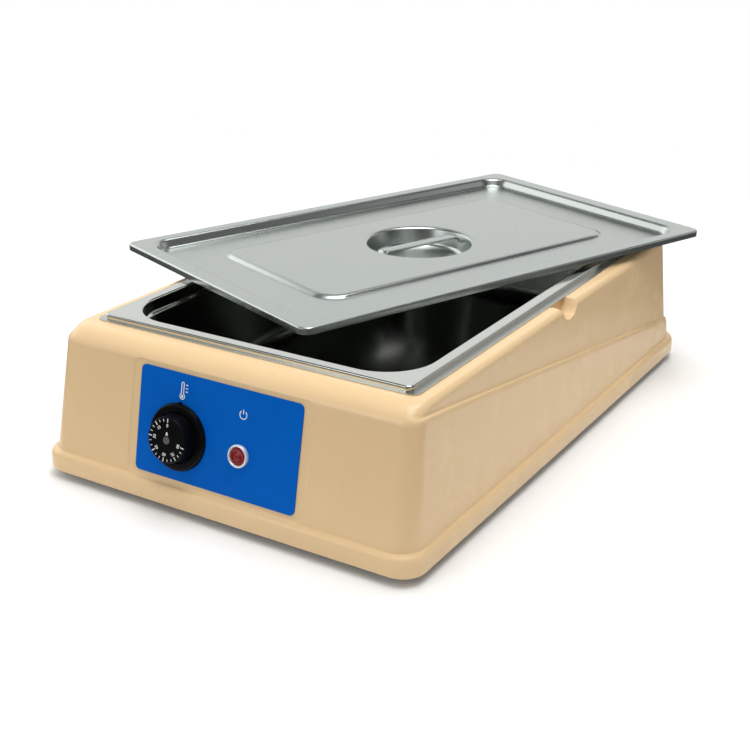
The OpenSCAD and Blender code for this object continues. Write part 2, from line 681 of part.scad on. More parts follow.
// Mains connection: terminal block and earth bolt on the base plate, cable gland in the rear wall
block_height = 16;
block_pitch = 10;
block_wire_z = 8;
clamp_screw_y = 5;
clamp_screw_z = 10;
clamp_screw_r = 1.9;
module terminal_block() {
    length = 42;
    color([0.92, 0.92, 0.88]) translate([block_x, block_y, plate_top]) difference() {
        translate([-length / 2, -block_depth / 2, 0]) cube([length, block_depth, block_height]);
        for (k = [-1:1]) translate([k * block_pitch, -block_depth, block_wire_z]) rotate([-90, 0, 0])
            cylinder(r = wire_r + 0.5, h = 2 * block_depth);
        for (k = [-1:1], s = [-1, 1]) translate([k * block_pitch, s * clamp_screw_y, clamp_screw_z])
            cylinder(r = clamp_screw_r + 0.1, h = block_height);
        for (s = [-1, 1]) translate([s * block_fix, 0, -1]) cylinder(r = bolt_r + 0.1, h = chassis_bite + 2);
    }
}
module terminal_screws() {
    length = 4.5;
    slot = [0.8, 0.7];
    color([0.8, 0.72, 0.4]) for (k = [-1:1], s = [-1, 1])
        translate([block_x + k * block_pitch, block_y + s * clamp_screw_y, plate_top + clamp_screw_z])
        difference() {
            cylinder(r = clamp_screw_r, h = length);
            translate([-clamp_screw_r - 1, -slot[0] / 2, length - slot[1]])
                cube([2 * clamp_screw_r + 2, slot[0], 2]);
        }
}
earth_r = 2.5;
module earth_bolt() {
    color([0.8, 0.7, 0.4]) translate([earth_place[0], earth_place[1], plate_z])
        screw(earth_r, earth_r + 2, screw_head, plate_sheet + 12);
}
module earth_nut() {
    color([0.8, 0.7, 0.4]) translate([earth_place[0], earth_place[1], plate_top]) hex(4.6, earth_r + 0.1, 4);
}
gland_r = 8;
gland_bore_r = 4;
gland_inside = 12;
module cable_gland() {
    washer = [12, 2];
    body_hex = [11.5, 6];
    dome = [9.5, 6.5, 3, 9];
    color([0.08, 0.08, 0.08]) on_rear(0) difference() {
        union() {
            translate([0, 0, -rear_wall - gland_inside])
                cylinder(r = gland_r, h = rear_wall + gland_inside + 1);
            cylinder(r = washer[0], h = washer[1]);
            translate([0, 0, washer[1]]) linear_extrude(body_hex[1]) circle(r = body_hex[0], $fn = 6);
            translate([0, 0, washer[1] + body_hex[1]]) rotate_extrude()
                polygon([[0, 0], [dome[0], 0], [dome[0], dome[2]], [dome[1], dome[3]], [0, dome[3]]]);
        }
        translate([0, 0, -60]) cylinder(r = gland_bore_r, h = 120);
    }
}
module gland_nut() {
    thick = 5;
    color([0.08, 0.08, 0.08]) on_rear(-rear_wall - thick) hex(gland_r + 4, gland_r + 0.1, thick);
}

// Inner wiring: along the left side to the thermostat, to the mat at front and rear, and to the lamp
wire_r = 1.2;
module wire_live() {
    lane_x = -(well_half_x + sheet + 12);
    lane_z = plate_top + 8;
    start = [block_x - block_pitch, block_y - block_depth / 2 + 2, plate_top + block_wire_z];
    end = front_point(knob_x - 10, knob_s - thermostat_size / 2 - wire_gap, -front_wall - 12);
    under = end - wire_lead * slope_up;
    rear = [lane_x, 150, lane_z];
    front = [lane_x, -170, lane_z];
    color([0.35, 0.2, 0.12]) wire(concat(
        bend(start, start + [0, -16, 0], rear + [0, 60, 0], rear, 12),
        tail(bend(rear, rear + [0, -80, 0], front + [0, 80, 0], front, 4)),
        tail(bend(front, front + [0, -60, 0], under - 18 * slope_up, under, 12)), [end]), wire_r);
}
module wire_heater() {
    start = front_point(knob_x + 10, knob_s - thermostat_size / 2 - wire_gap, -front_wall - 12);
    end = [knob_x + 10, pan_shift - mat_half_y - wire_gap, mat_z + mat_thick / 2];
    under = start - wire_lead * slope_up;
    color([0.75, 0.72, 0.65]) wire(concat([start],
        bend(under, under - 11 * slope_up, end + [0, -30, 0], end, 12)), wire_r);
}
module wire_neutral() {
    start = [block_x, block_y - block_depth / 2 + 2, plate_top + block_wire_z];
    end = [block_x, pan_shift + mat_half_y + wire_gap, mat_z + mat_thick / 2];
    mid = [block_x, pan_shift + pad_half_y + 8, mat_z + mat_thick / 2 - 6];
    color([0.1, 0.2, 0.5]) wire(concat(bend(start, start + [0, -8, 0], mid + [0, 0, -6], mid, 8),
        tail(bend(mid, mid + [0, 0, 5], end + [0, 13, 0.6], end, 8))), wire_r);
}
module wire_lamp() {
    start = front_point(lamp_x - lamp_tab_x, lamp_s + lamp_tab / 2 + wire_gap,
        -front_wall - lamp_back - tab_length / 2);
    end = front_point(knob_x + thermostat_size / 2 + wire_gap, knob_s + 10, -front_wall - 20);
    top = start + wire_lead * slope_up;
    side = end + [wire_lead, 0, 0];
    color([0.1, 0.2, 0.5]) wire(concat([start],
        bend(top, top + [0, 2, 11], side + [15, 0, 6], side, 12), [end]), 0.9);
}

// Lift-out pan of the standard full size: lipped rim, stacking step, tapered walls, round floor edge
module gastro_pan() {
    hx = pan_width / 2;
    hy = pan_length / 2;
    rim_corner = 6;
    mouth_corner = 58;
    mouth_round = 2;
    step_drop = 14;
    step_in = 3;
    draft = 5;
    floor_round = 15;
    mx = hx - rim_width;
    my = hy - rim_width;
    step_z = rim_z - step_drop;
    foot_in = step_in + (step_z - pan_floor_z) * tan(draft);
    function wall_at(z, s) = let (g = step_in - s + (step_z - z) * tan(draft))
        box_ring(mx - g, my - g, mouth_corner - g, z);
    function floor_at(t, s) = let (f = floor_round + s, z = pan_floor_z + sheet - s + f * (1 - cos(t)),
        g = foot_in + f * (1 - sin(t)) - (z - pan_floor_z) * tan(draft))
        box_ring(mx + s - g, my + s - g, mouth_corner + s - g, z);
    color([0.74, 0.77, 0.76]) translate([0, pan_shift, 0]) skin(concat(
        [for (t = [0:22.5:90]) floor_at(t, sheet)],
        [wall_at(step_z - sheet, sheet), box_ring(mx + sheet, my + sheet, mouth_corner + sheet, step_z + 2),
            box_ring(mx + sheet, my + sheet, mouth_corner + sheet, rim_z - mouth_round - sheet),
            box_ring(mx + sheet + 1, my + sheet + 1, mouth_corner + sheet + 1, rim_z - sheet),
            box_ring(hx - sheet, hy - sheet, rim_corner - sheet, rim_z - sheet),
            box_ring(hx - sheet, hy - sheet, rim_corner - sheet, seat_z),
            box_ring(hx, hy, rim_corner, seat_z), box_ring(hx, hy, rim_corner, rim_z - 1.2),
            box_ring(hx - 0.35, hy - 0.35, rim_corner - 0.35, rim_z - 0.35),
            box_ring(hx - 1.2, hy - 1.2, rim_corner - 1.2, rim_z)],
        [for (t = [0:30:90]) let (g = mouth_round * (1 - sin(t)))
            box_ring(mx + g, my + g, mouth_corner + g, rim_z - mouth_round * (1 - cos(t)))],
        [box_ring(mx, my, mouth_corner, step_z + 2), wall_at(step_z, 0)],
        [for (t = [90:-22.5:0]) floor_at(t, 0)]));
}

// Loose lid: lipped flange, sloping channel, raised middle and a round handle cup
lid_flange = 14;
cup_lip = 3;
cup_taper = 5;
cup_floor_round = 6;
module on_lid() {
    translate([lid_side, pan_shift + lid_back, lid_z]) rotate([0, 0, lid_turn]) children();
}
module lid() {
    hx = lid_width / 2;
    hy = lid_length / 2;
    lid_corner = 11;
    edge = 2;
    bevel = edge * (1 - cos(45));
    slope = 5.5;
    flange_in = lid_corner + 1;
    rise_x = 95.5;
    rise_y = 189;
    rise_slope = 4;
    rise_corner = 20;
    middle = lid_rise - lid_channel;
    // Sections from the cup's floor outward, drawn once for the upper side and once a sheet lower
    function pressed(s) = concat(
        [for (t = [0:30:90]) let (f = cup_floor_round + s)
            round_ring(cup_radius + s - cup_lip - cup_taper - f * (1 - sin(t)),
                middle - cup_depth - s + f * (1 - cos(t)))],
        [for (t = [0:30:90]) let (g = cup_lip - s)
            round_ring(cup_radius - g * cos(t), middle - s - g * (1 - sin(t)))],
        [box_ring(rise_x, rise_y, rise_corner, middle - s),
            box_ring(rise_x + rise_slope, rise_y + rise_slope, rise_corner + rise_slope, -lid_channel - s),
            box_ring(hx - lid_flange - slope + s / 2, hy - lid_flange - slope + s / 2, flange_in,
                -lid_channel - s),
            box_ring(hx - lid_flange + s / 2, hy - lid_flange + s / 2, flange_in + slope, -s)]);
    upper = pressed(0);
    color([0.76, 0.79, 0.78]) on_lid() skin(concat(pressed(sheet),
        [box_ring(hx - edge, hy - edge, lid_corner - edge, -sheet),
            box_ring(hx - sheet, hy - sheet, lid_corner - sheet, -edge),
            box_ring(hx - sheet, hy - sheet, lid_corner - sheet, -lid_lip),
            box_ring(hx, hy, lid_corner, -lid_lip), box_ring(hx, hy, lid_corner, -edge),
            box_ring(hx - bevel, hy - bevel, lid_corner - bevel, -bevel),
            box_ring(hx - edge, hy - edge, lid_corner - edge, 0)],
        [for (k = [len(upper) - 1:-1:0]) upper[k]]));
}

// Handle strap across the cup, its ends turned down and welded to the cup's wall
module lid_handle() {
    thick = 2;
    below = 2.5;
    turn = 7;
    weld_gap = 0.35;
    top = lid_rise - lid_channel - below;
    cup_wall = cup_depth - cup_floor_round - cup_lip;
    wall_r = cup_radius - cup_lip - cup_taper * (below + turn - cup_lip) / cup_wall;
    reach = sqrt(wall_r * wall_r - strap_width * strap_width / 4) - weld_gap;
    function arc(s, r, first) = [for (i = [0:6]) let (a = 90 * abs(first - i / 6))
        [s * (reach - turn + r * sin(a)), top - turn + r * cos(a)]];
    color([0.72, 0.75, 0.74]) on_lid() rotate([90, 0, 90]) translate([0, 0, -strap_width / 2])
        linear_extrude(strap_width) polygon(concat(arc(1, turn, 1), arc(-1, turn, 0),
            arc(-1, turn - thick, 1), arc(1, turn - thick, 0)));
}

body_shell();
base_plate();
base_screws();
chassis_screws();
rubber_feet();
foot_screws();
foot_nuts();
heating_well();
well_clamps();
clamp_nuts();
heater_mat();
insulation_pad();
heat_shield();
shield_posts();
control_panel();
thermostat_body();
thermostat_screws();
thermostat_shaft();
knob_bezel();
thermostat_knob();
knob_cap();
capillary_tube();
sensor_bulb();
bulb_clips();
thermal_cutout();
lamp_bezel();
lamp_lens();
lamp_body();
lamp_nut();
terminal_block();
terminal_screws();
earth_bolt();
earth_nut();
cable_gland();
gland_nut();
wire_live();
wire_heater();
wire_neutral();
wire_lamp();
gastro_pan();
lid();
lid_handle();
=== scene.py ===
"""Chocolate melting tank: finishes, dressed pieces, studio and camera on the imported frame."""

import json
from math import cos, pi, radians, sin, sqrt, tan

import bmesh
import bpy
import numpy as np
from mathutils import Matrix, Vector

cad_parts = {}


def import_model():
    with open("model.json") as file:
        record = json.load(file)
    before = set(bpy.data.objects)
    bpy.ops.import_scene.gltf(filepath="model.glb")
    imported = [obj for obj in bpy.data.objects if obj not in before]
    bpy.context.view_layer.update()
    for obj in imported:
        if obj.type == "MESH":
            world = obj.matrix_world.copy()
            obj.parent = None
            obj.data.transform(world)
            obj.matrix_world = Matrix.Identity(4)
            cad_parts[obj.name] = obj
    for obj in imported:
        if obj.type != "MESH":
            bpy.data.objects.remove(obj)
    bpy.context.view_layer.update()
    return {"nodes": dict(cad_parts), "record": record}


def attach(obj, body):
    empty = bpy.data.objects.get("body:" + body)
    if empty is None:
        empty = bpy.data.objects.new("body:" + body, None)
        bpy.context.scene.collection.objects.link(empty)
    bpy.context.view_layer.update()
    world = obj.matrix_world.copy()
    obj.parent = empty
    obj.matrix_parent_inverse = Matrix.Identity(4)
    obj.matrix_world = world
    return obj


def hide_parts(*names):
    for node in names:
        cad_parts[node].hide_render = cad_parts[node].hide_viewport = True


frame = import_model()
MM = 0.001

# Housing sizes in millimetres, as in the part's source, but with rounder front corners
BODY_WIDTH, BODY_DEPTH, BODY_HEIGHT = 398, 624, 134.5
GROUND_GAP, WALL, SHEET = 8, 4, 1
FLANGE_HEIGHT, FLANGE_STEP, FLANGE_ROUND, FLANGE_EDGE, FLANGE_FILLET = 18.5, 5.5, 7.5, 1.5, 1.5
SIDE_DRAFT, FRONT_LEAN, REAR_LEAN = radians(4), radians(11.1), radians(6.5)
REAR_CORNER, FRONT_CORNER, FRONT_CORNER_TOP = 30, 21, 15
FLANGE_REAR_CORNER, FLANGE_FRONT_CORNER = 32, 22
SHOULDER_Z, SHOULDER_SLOPE = BODY_HEIGHT - 9.5, 0.153
SHOULDER_STEP, SHOULDER_BAND, SHOULDER_FILLET = 3, 5, 1
TOP_ROUND, FRONT_ROUND, TOP_NARROWING = 6, 18, 4.2
SCOOP_RADIUS, SCOOP_DEPTH, SCOOP_Y, SCOOP_BRIM = 18, 14.5, 14, 2.4
FRONT_Y = FLANGE_STEP - BODY_DEPTH / 2
REAR_Y = BODY_DEPTH / 2 - FLANGE_STEP - SHOULDER_STEP

# Pan, well opening and lid
PAN_LENGTH, PAN_WIDTH, PAN_DEPTH, RIM_WIDTH, RIM_LIP, PAN_SHIFT = 530, 325, 100, 12, 5, 10
SEAT_Z = GROUND_GAP + BODY_HEIGHT + SHEET
RIM_Z = SEAT_Z + RIM_LIP
PAN_FLOOR_Z = RIM_Z - PAN_DEPTH
OPENING_X, OPENING_Y, OPENING_CORNER = 160, 262.5, 41
LID_LENGTH, LID_WIDTH, LID_LIP, LID_CHANNEL, LID_RISE = 528, 329, 6.5, 9, 4
LID_PLACE = (-27, PAN_SHIFT + 81, RIM_Z + SHEET + LID_CHANNEL)
LID_TURN = radians(-21)
CUP_RADIUS, CUP_LIP, CUP_TAPER, CUP_FLOOR_ROUND, CUP_DEPTH = 59, 3, 5, 6, 21.5
STRAP_WIDTH, STRAP_THICK, STRAP_BELOW, STRAP_TURN = 14, 2, 2.5, 7

# Controls on the front wall and the gland on the rear wall; s runs up the slope from the flange
PANEL_X, PANEL_S, PANEL_WIDTH, PANEL_HEIGHT, PANEL_OUT = -3.9, 53.9, 171, 96, 0.2
BED_DEPTH, BED_SIDE, BED_END, BED_CORNER, BED_EDGE = 0.8, 9, 4.3, 9, 1.6
KNOB_X, KNOB_S, KNOB_RADIUS, KNOB_HEIGHT = -44, 45, 22, 16
BEZEL_RADIUS, TURN_GAP = 30, 0.6
LAMP_X, LAMP_S, LAMP_RADIUS, LENS_RADIUS = 21.5, 43.9, 10, 8
GLAND_X, GLAND_S = -60, 44
SHAFT_HOLE, SCREW_HOLE, SCREW_PITCH, LAMP_HOLE, GLAND_HOLE = 6, 2.2, 14, 6.2, 8.2


# Node trees

class Socket:
    """An output socket that takes part in Python sums; each sum adds a Math node."""

    def __init__(self, graph, link):
        self.graph = graph
        self.link = link

    def math(self, operation, first, second=0.0):
        return self.graph.node("ShaderNodeMath", {"operation": operation}, {0: first, 1: second})

    def __add__(self, other):
        return self.math("ADD", self, other)

    def __sub__(self, other):
        return self.math("SUBTRACT", self, other)

    def __rsub__(self, other):
        return self.math("SUBTRACT", other, self)

    def __mul__(self, other):
        return self.math("MULTIPLY", self, other)

    def __truediv__(self, other):
        return self.math("DIVIDE", self, other)

    __radd__ = __add__
    __rmul__ = __mul__


class Graph:
    """A node tree and the one method that adds to it."""

    def __init__(self, tree):
        self.tree = tree
        tree.nodes.clear()

    def node(self, kind, settings=None, inputs=None, out=0):
        """Adds a node: its settings first, then the values or links of its sockets."""
        node = self.tree.nodes.new(kind)
        for name, value in (settings or {}).items():
            setattr(node, name, value)
        for name, value in (inputs or {}).items():
            if isinstance(value, Socket):
                self.tree.links.new(value.link, node.inputs[name])
            else:
                node.inputs[name].default_value = value
        return Socket(self, node.outputs[out]) if len(node.outputs) else node


class Finish(Graph):
    """A procedural material read in Object coordinates."""

    def __init__(self, name):
        self.material = bpy.data.materials.new(name)
        self.material.use_nodes = True
        super().__init__(self.material.node_tree)
        self.place = self.node("ShaderNodeTexCoord", out="Object")

    def turned(self, angle, stretch):
        """Object coordinates turned about Z, then stretched along each axis."""
        turn = self.node("ShaderNodeMapping", {"vector_type": "POINT"},
                         {"Vector": self.place, "Rotation": (0, 0, -angle)})
        return self.node("ShaderNodeMapping", {"vector_type": "POINT"}, {"Vector": turn, "Scale": stretch})

    def noise(self, size, detail=2.0, roughness=0.5, place=None):
        """Cloudy value from 0 to 1 with patches of about this size in millimetres."""
        return self.node("ShaderNodeTexNoise", {"noise_dimensions": "3D"},
                         {"Vector": place or self.place, "Scale": 1 / (size * MM), "Detail": detail,
                          "Roughness": roughness})

    def specks(self, size):
        """Distance from scattered points this far apart, in millimetres."""
        return self.node("ShaderNodeTexVoronoi", {"feature": "F1"},
                         {"Vector": self.place, "Scale": 1 / (size * MM)})

    def mix(self, factor, first, second):
        """Colour between two colours."""
        return self.node("ShaderNodeMix", {"data_type": "RGBA"}, {0: factor, 6: first, 7: second}, out=2)

    def bump(self, height, depth, strength):
        """Surface normal from a height field whose full height is this many millimetres."""
        return self.node("ShaderNodeBump", None,
                         {"Strength": strength, "Distance": depth * MM, "Height": height})

    def surface(self, varying, fixed=None):
        """The shader: varying sockets are linked, fixed ones are set on it."""
        shader = self.node("ShaderNodeBsdfPrincipled", None, {**(fixed or {}), **varying})
        self.node("ShaderNodeOutputMaterial", None, {"Surface": shader})
        return self.material


def rgb(red, green, blue):
    return (red, green, blue, 1)


# Finishes

def cream_moulding():
    """Satin moulded plastic: faint mottling, orange-peel skin, a shine that varies a little."""
    f = Finish("cream_moulding")
    clouds = f.noise(90, 3)
    mottle = f.noise(7, 4, 0.6)
    peel = f.noise(2.2, 2)
    grain = f.noise(0.55, 3, 0.65)
    tone = f.mix(clouds, rgb(0.735, 0.525, 0.29), rgb(0.79, 0.565, 0.315))
    base = f.mix(mottle * 0.22, tone, rgb(0.66, 0.47, 0.255))
    return f.surface({"Base Color": base, "Roughness": 0.2 + clouds * 0.07 + grain * 0.06,
                      "Normal": f.bump(peel + grain * 0.35, 0.05, 0.55)},
                     {"Specular IOR Level": 0.42})


def rolled_steel(name, tint, roughness, angle):
    """Satin stainless sheet: cloudy polish drawn out along the rolling direction, slight waviness."""
    f = Finish(name)
    drawn = f.noise(26, 2, 0.5, f.turned(angle, (1.0, 0.15, 1.0)))
    clouds = f.noise(70, 2, 0.5)
    waves = f.noise(160, 1)
    bright = tuple(channel * 1.05 for channel in tint)
    dull = tuple(channel * 0.92 for channel in tint)
    base = f.mix(drawn * 0.4 + clouds * 0.6, rgb(*dull), rgb(*bright))
    return f.surface({"Base Color": base, "Roughness": roughness + clouds * 0.05 + drawn * 0.03,
                      "Normal": f.bump(waves, 0.5, 0.2)}, {"Metallic": 1.0})


def plated_sheet():
    """Zinc-plated sheet with soft spangle patches."""
    f = Finish("plated_sheet")
    spangle = f.specks(9)
    grain = f.noise(1.5, 3)
    base = f.mix(spangle, rgb(0.43, 0.45, 0.46), rgb(0.58, 0.6, 0.6))
    return f.surface({"Base Color": base, "Roughness": 0.36 + spangle * 0.14 + grain * 0.06,
                      "Normal": f.bump(grain, 0.02, 0.4)}, {"Metallic": 1.0})


def turned_metal(name, dark, light, roughness, metallic=1.0):
    """Turned or plated metal: fine tool lines and a patchy tone."""
    f = Finish(name)
    patches = f.noise(3.5, 3)
    tool = f.noise(0.35, 2, 0.5, f.turned(0, (0.25, 0.25, 3.0)))
    return f.surface({"Base Color": f.mix(patches, rgb(*dark), rgb(*light)),
                      "Roughness": roughness + tool * 0.16 + patches * 0.08,
                      "Normal": f.bump(tool, 0.02, 0.5)}, {"Metallic": metallic})


def moulded(name, dark, light, roughness, gloss=0.22):
    """Moulded plastic with a fine spark-eroded grain."""
    f = Finish(name)
    clouds = f.noise(14, 3)
    grain = f.noise(0.6, 3, 0.6)
    return f.surface({"Base Color": f.mix(clouds * 0.8 + grain * 0.2, rgb(*dark), rgb(*light)),
                      "Roughness": roughness + grain * 0.12 + clouds * 0.05,
                      "Normal": f.bump(grain, 0.02, 0.5)}, {"Specular IOR Level": gloss})


def rubber(name, dark, light):
    """Matt rubber with a bloom of dust in its pores."""
    f = Finish(name)
    bloom = f.noise(6, 4, 0.6)
    pores = f.specks(0.8)
    return f.surface({"Base Color": f.mix(bloom, rgb(*dark), rgb(*light)), "Roughness": 0.66 + bloom * 0.2,
                      "Normal": f.bump(pores, 0.06, 0.5)}, {"Specular IOR Level": 0.3})


def needled_felt():
    """Pale insulating felt with crossing fibres."""
    f = Finish("needled_felt")
    along = f.noise(1.2, 3, 0.6, f.turned(0.3, (1.0, 0.12, 1.0)))
    across = f.noise(1.2, 3, 0.6, f.turned(1.7, (1.0, 0.12, 1.0)))
    fibres = along * 0.5 + across * 0.5
    return f.surface({"Base Color": f.mix(fibres, rgb(0.6, 0.56, 0.47), rgb(0.86, 0.83, 0.75)),
                      "Roughness": 0.85 + fibres * 0.1, "Normal": f.bump(fibres, 0.5, 0.8)},
                     {"Sheen Weight": 0.3})


def braided_sleeve():
    """Glass-fibre sleeve with a small crossed weave."""
    f = Finish("braided_sleeve")
    bands = {"wave_type": "BANDS", "bands_direction": "DIAGONAL"}
    weave = {"Scale": 900.0, "Distortion": 0.4}
    along, across = [f.node("ShaderNodeTexWave", bands, {"Vector": f.turned(angle, (1, 1, 1)), **weave})
                     for angle in (0, pi / 2)]
    cloth = along * across
    return f.surface({"Base Color": f.mix(cloth, rgb(0.42, 0.39, 0.32), rgb(0.72, 0.68, 0.58)),
                      "Roughness": 0.7 + cloth * 0.15, "Normal": f.bump(cloth, 0.1, 0.7)})


def panel_film():
    """Blue printed film: even ink with a hint of screen texture under a smooth top."""
    f = Finish("panel_film")
    ink = f.noise(24, 2)
    screen = f.noise(0.45, 2)
    return f.surface({"Base Color": f.mix(ink, rgb(0.0005, 0.098, 0.455), rgb(0.001, 0.114, 0.515)),
                      "Roughness": 0.3 + ink * 0.06 + screen * 0.08, "Normal": f.bump(screen, 0.012, 0.4)},
                     {"Specular IOR Level": 0.03})


def clear_red():
    """Dark red lens plastic, glossy, with cloudy depth."""
    f = Finish("clear_red")
    depth = f.noise(3, 2)
    return f.surface({"Base Color": f.mix(depth, rgb(0.11, 0.003, 0.004), rgb(0.3, 0.008, 0.01)),
                      "Roughness": 0.1 + depth * 0.08},
                     {"Specular IOR Level": 0.3, "Coat Weight": 0.12, "Coat Roughness": 0.05})


def white_print():
    """Screen-printed white, slightly uneven at the edge of each stroke."""
    f = Finish("white_print")
    cover = f.noise(0.7, 3, 0.6)
    return f.surface({"Base Color": f.mix(cover, rgb(0.62, 0.64, 0.64), rgb(0.86, 0.87, 0.86)),
                      "Roughness": 0.45 + cover * 0.15})


LID_STEEL = rolled_steel("lid_steel", (0.5, 0.54, 0.515), 0.24, LID_TURN)
PAN_STEEL = rolled_steel("pan_steel", (0.63, 0.65, 0.61), 0.1, 0)
FINISHES = {
    "cream_moulding": cream_moulding(),
    "satin_steel": rolled_steel("well_steel", (0.6, 0.6, 0.57), 0.34, 0),
    "zinc_steel": plated_sheet(),
    "zinc_screw": turned_metal("plated_screw", (0.46, 0.47, 0.49), (0.64, 0.65, 0.66), 0.26),
    "black_rubber": rubber("foot_rubber", (0.014, 0.014, 0.014), (0.045, 0.045, 0.043)),
    "silicone_mat": rubber("mat_silicone", (0.36, 0.09, 0.03), (0.5, 0.14, 0.05)),
    "felt": needled_felt(),
    "black_plastic": moulded("black_plastic", (0.0015, 0.0015, 0.0017), (0.003, 0.003, 0.0032), 0.26, 0.1),
    "blue_panel": panel_film(),
    "grey_insert": moulded("grey_insert", (0.07, 0.075, 0.075), (0.15, 0.16, 0.16), 0.35),
    "chrome_ring": turned_metal("chrome_ring", (0.86, 0.87, 0.87), (0.93, 0.93, 0.93), 0.14, 0.45),
    "red_lens": clear_red(),
    "pale_plastic": moulded("pale_plastic", (0.6, 0.57, 0.48), (0.7, 0.67, 0.58), 0.45),
    "copper": turned_metal("bare_copper", (0.5, 0.2, 0.1), (0.72, 0.36, 0.22), 0.25),
    "brass": turned_metal("bare_brass", (0.55, 0.39, 0.14), (0.74, 0.57, 0.26), 0.25),
    "brown_wire": moulded("brown_wire", (0.09, 0.035, 0.015), (0.15, 0.06, 0.03), 0.5),
    "blue_wire": moulded("blue_wire", (0.012, 0.035, 0.2), (0.03, 0.07, 0.3), 0.5),
    "glass_sleeve_wire": braided_sleeve(),
}
PRINT = white_print()


# Mesh making

MERGE = 2e-6


def linked(name, data):
    """A new object in the scene."""
    item = bpy.data.objects.new(name, data)
    bpy.context.scene.collection.objects.link(item)
    return item


def evaluated(item):
    """A plain mesh of an object's modifiers or text."""
    bpy.context.view_layer.update()
    return bpy.data.meshes.new_from_object(item.evaluated_get(bpy.context.evaluated_depsgraph_get()))


def mesh_of(name, points, faces, outwards=False):
    """A mesh in metres from points in millimetres: doubles merged, and faces turned outwards where asked."""
    mesh = bpy.data.meshes.new(name)
    mesh.from_pydata([tuple(point) for point in np.asarray(points) * MM], [], faces)
    form = bmesh.new()
    form.from_mesh(mesh)
    bmesh.ops.remove_doubles(form, verts=form.verts, dist=MERGE)
    bmesh.ops.dissolve_degenerate(form, edges=form.edges, dist=MERGE / 2)
    if outwards:
        bmesh.ops.recalc_face_normals(form, faces=form.faces)
    form.to_mesh(mesh)
    form.free()
    return mesh


def joined(name, meshes):
    """One mesh from several."""
    form = bmesh.new()
    for mesh in meshes:
        form.from_mesh(mesh)
    whole = bpy.data.meshes.new(name)
    form.to_mesh(whole)
    form.free()
    return whole


def dress(name, mesh, finish, body, sharp, place=None, node=None):
    """Makes a mesh in metres a piece of the object; edges that turn by more than sharp degrees stay crisp."""
    if place is not None:
        mesh.transform(place)
    for polygon in mesh.polygons:
        polygon.use_smooth = True
    mesh.set_sharp_from_angle(angle=radians(sharp))
    mesh.materials.clear()
    mesh.materials.append(finish)
    piece = linked(name, mesh)
    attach(piece, body)
    if node:
        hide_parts(node)
    return piece


def add_piece(name, form, finish, body, node, sharp, place=None):
    """A piece from points and faces in millimetres, which stands for a node of the frame."""
    return dress(name, mesh_of(name, *form), finish, body, sharp, place, node)


def skin_faces(count, size, shut):
    """Quads between stacked rings of one size; a shut skin joins the last ring to the first."""
    faces = []
    for k in range(count if shut else count - 1):
        for i in range(size):
            j = (i + 1) % size
            m = (k + 1) % count
            faces.append((k * size + i, k * size + j, m * size + j, m * size + i))
    if not shut:
        faces.append(tuple(range(size - 1, -1, -1)))
        faces.append(tuple(range((count - 1) * size, count * size)))
    return faces


def skin(rings, shut=False):
    """Points and faces through a list of rings."""
    return np.concatenate(rings), skin_faces(len(rings), len(rings[0]), shut)


def lathe(profile, segments):
    """Points and faces of a turned form; its (radius, height) profile starts on the axis or is a loop."""
    angles = np.linspace(0, 2 * pi, segments, endpoint=False)
    rings = [np.column_stack([r * np.cos(angles), r * np.sin(angles), np.full(segments, z)])
             for r, z in profile]
    faces = skin_faces(len(rings), segments, True)
    if profile[0][0] == 0:
        faces = faces[:-segments]
    return np.concatenate(rings), faces


def arc(first, last, steps):
    """Angles in radians from first to last degrees."""
    return np.radians(np.linspace(first, last, steps + 1))


def quarter(grows, falls, steps, start=0):
    """Pairs along a quarter round: the first grows from nothing to its size, the second falls to nothing."""
    return [(grows * (1 - cos(a)), falls * (1 - sin(a))) for a in arc(start, 90, steps)]


def stations(*runs):
    """Values in a row, from runs given as (first, last, count)."""
    return np.concatenate([np.linspace(*run) for run in runs])


def smooth(share):
    """A share from 0 to 1, eased at both ends."""
    return share * share * (3 - 2 * share)


def soften(profile, size, steps):
    """Rounds each inner corner of a profile of value rows, with a support row beside each round."""
    most, half, support = 0.42, 0.5, 1.18
    rows = [np.array(row, float) for row in profile]
    out = [rows[0]]
    for before, corner, after in zip(rows, rows[1:], rows[2:]):
        back, ahead = before - corner, after - corner
        back_share, ahead_share = [min(most, size / max(np.linalg.norm(way[[0, -1]]), 1e-6))
                                   for way in (back, ahead)]
        start, stop = corner + back * back_share, corner + ahead * ahead_share
        out.append(corner + back * min(half, back_share * support))
        for t in np.linspace(0, 1, steps + 1):
            out.append((1 - t) ** 2 * start + 2 * t * (1 - t) * corner + t * t * stop)
        out.append(corner + ahead * min(half, ahead_share * support))
    return out + [rows[-1]]


def plan_ring(half_x, half_y, corner, z):
    """A rounded rectangle of points; with the corner as large as both halves it is a circle."""
    steps = 16
    points = []
    for quadrant in range(4):
        middle_x = (half_x - corner) * (1 if quadrant in (0, 3) else -1)
        middle_y = (half_y - corner) * (1 if quadrant < 2 else -1)
        for a in arc(90 * quadrant, 90 * quadrant + 90, steps):
            points.append((middle_x + corner * cos(a), middle_y + corner * sin(a), z))
    return np.array(points)


def front_place(x, s, out=0.0):
    """Placing on the leaning front wall, in metres: right, up the slope, out of the wall."""
    point = Vector((x, FRONT_Y + s * sin(FRONT_LEAN) - out * cos(FRONT_LEAN),
                    GROUND_GAP + FLANGE_HEIGHT + s * cos(FRONT_LEAN) + out * sin(FRONT_LEAN)))
    return Matrix.Translation(point * MM) @ Matrix.Rotation(pi / 2 - FRONT_LEAN, 4, "X")


def rear_place():
    """Placing on the leaning rear wall at the cable gland, in metres."""
    point = Vector((GLAND_X, REAR_Y - GLAND_S * sin(REAR_LEAN),
                    GROUND_GAP + FLANGE_HEIGHT + GLAND_S * cos(REAR_LEAN)))
    return Matrix.Translation(point * MM) @ Matrix.Rotation(REAR_LEAN - pi / 2, 4, "X")


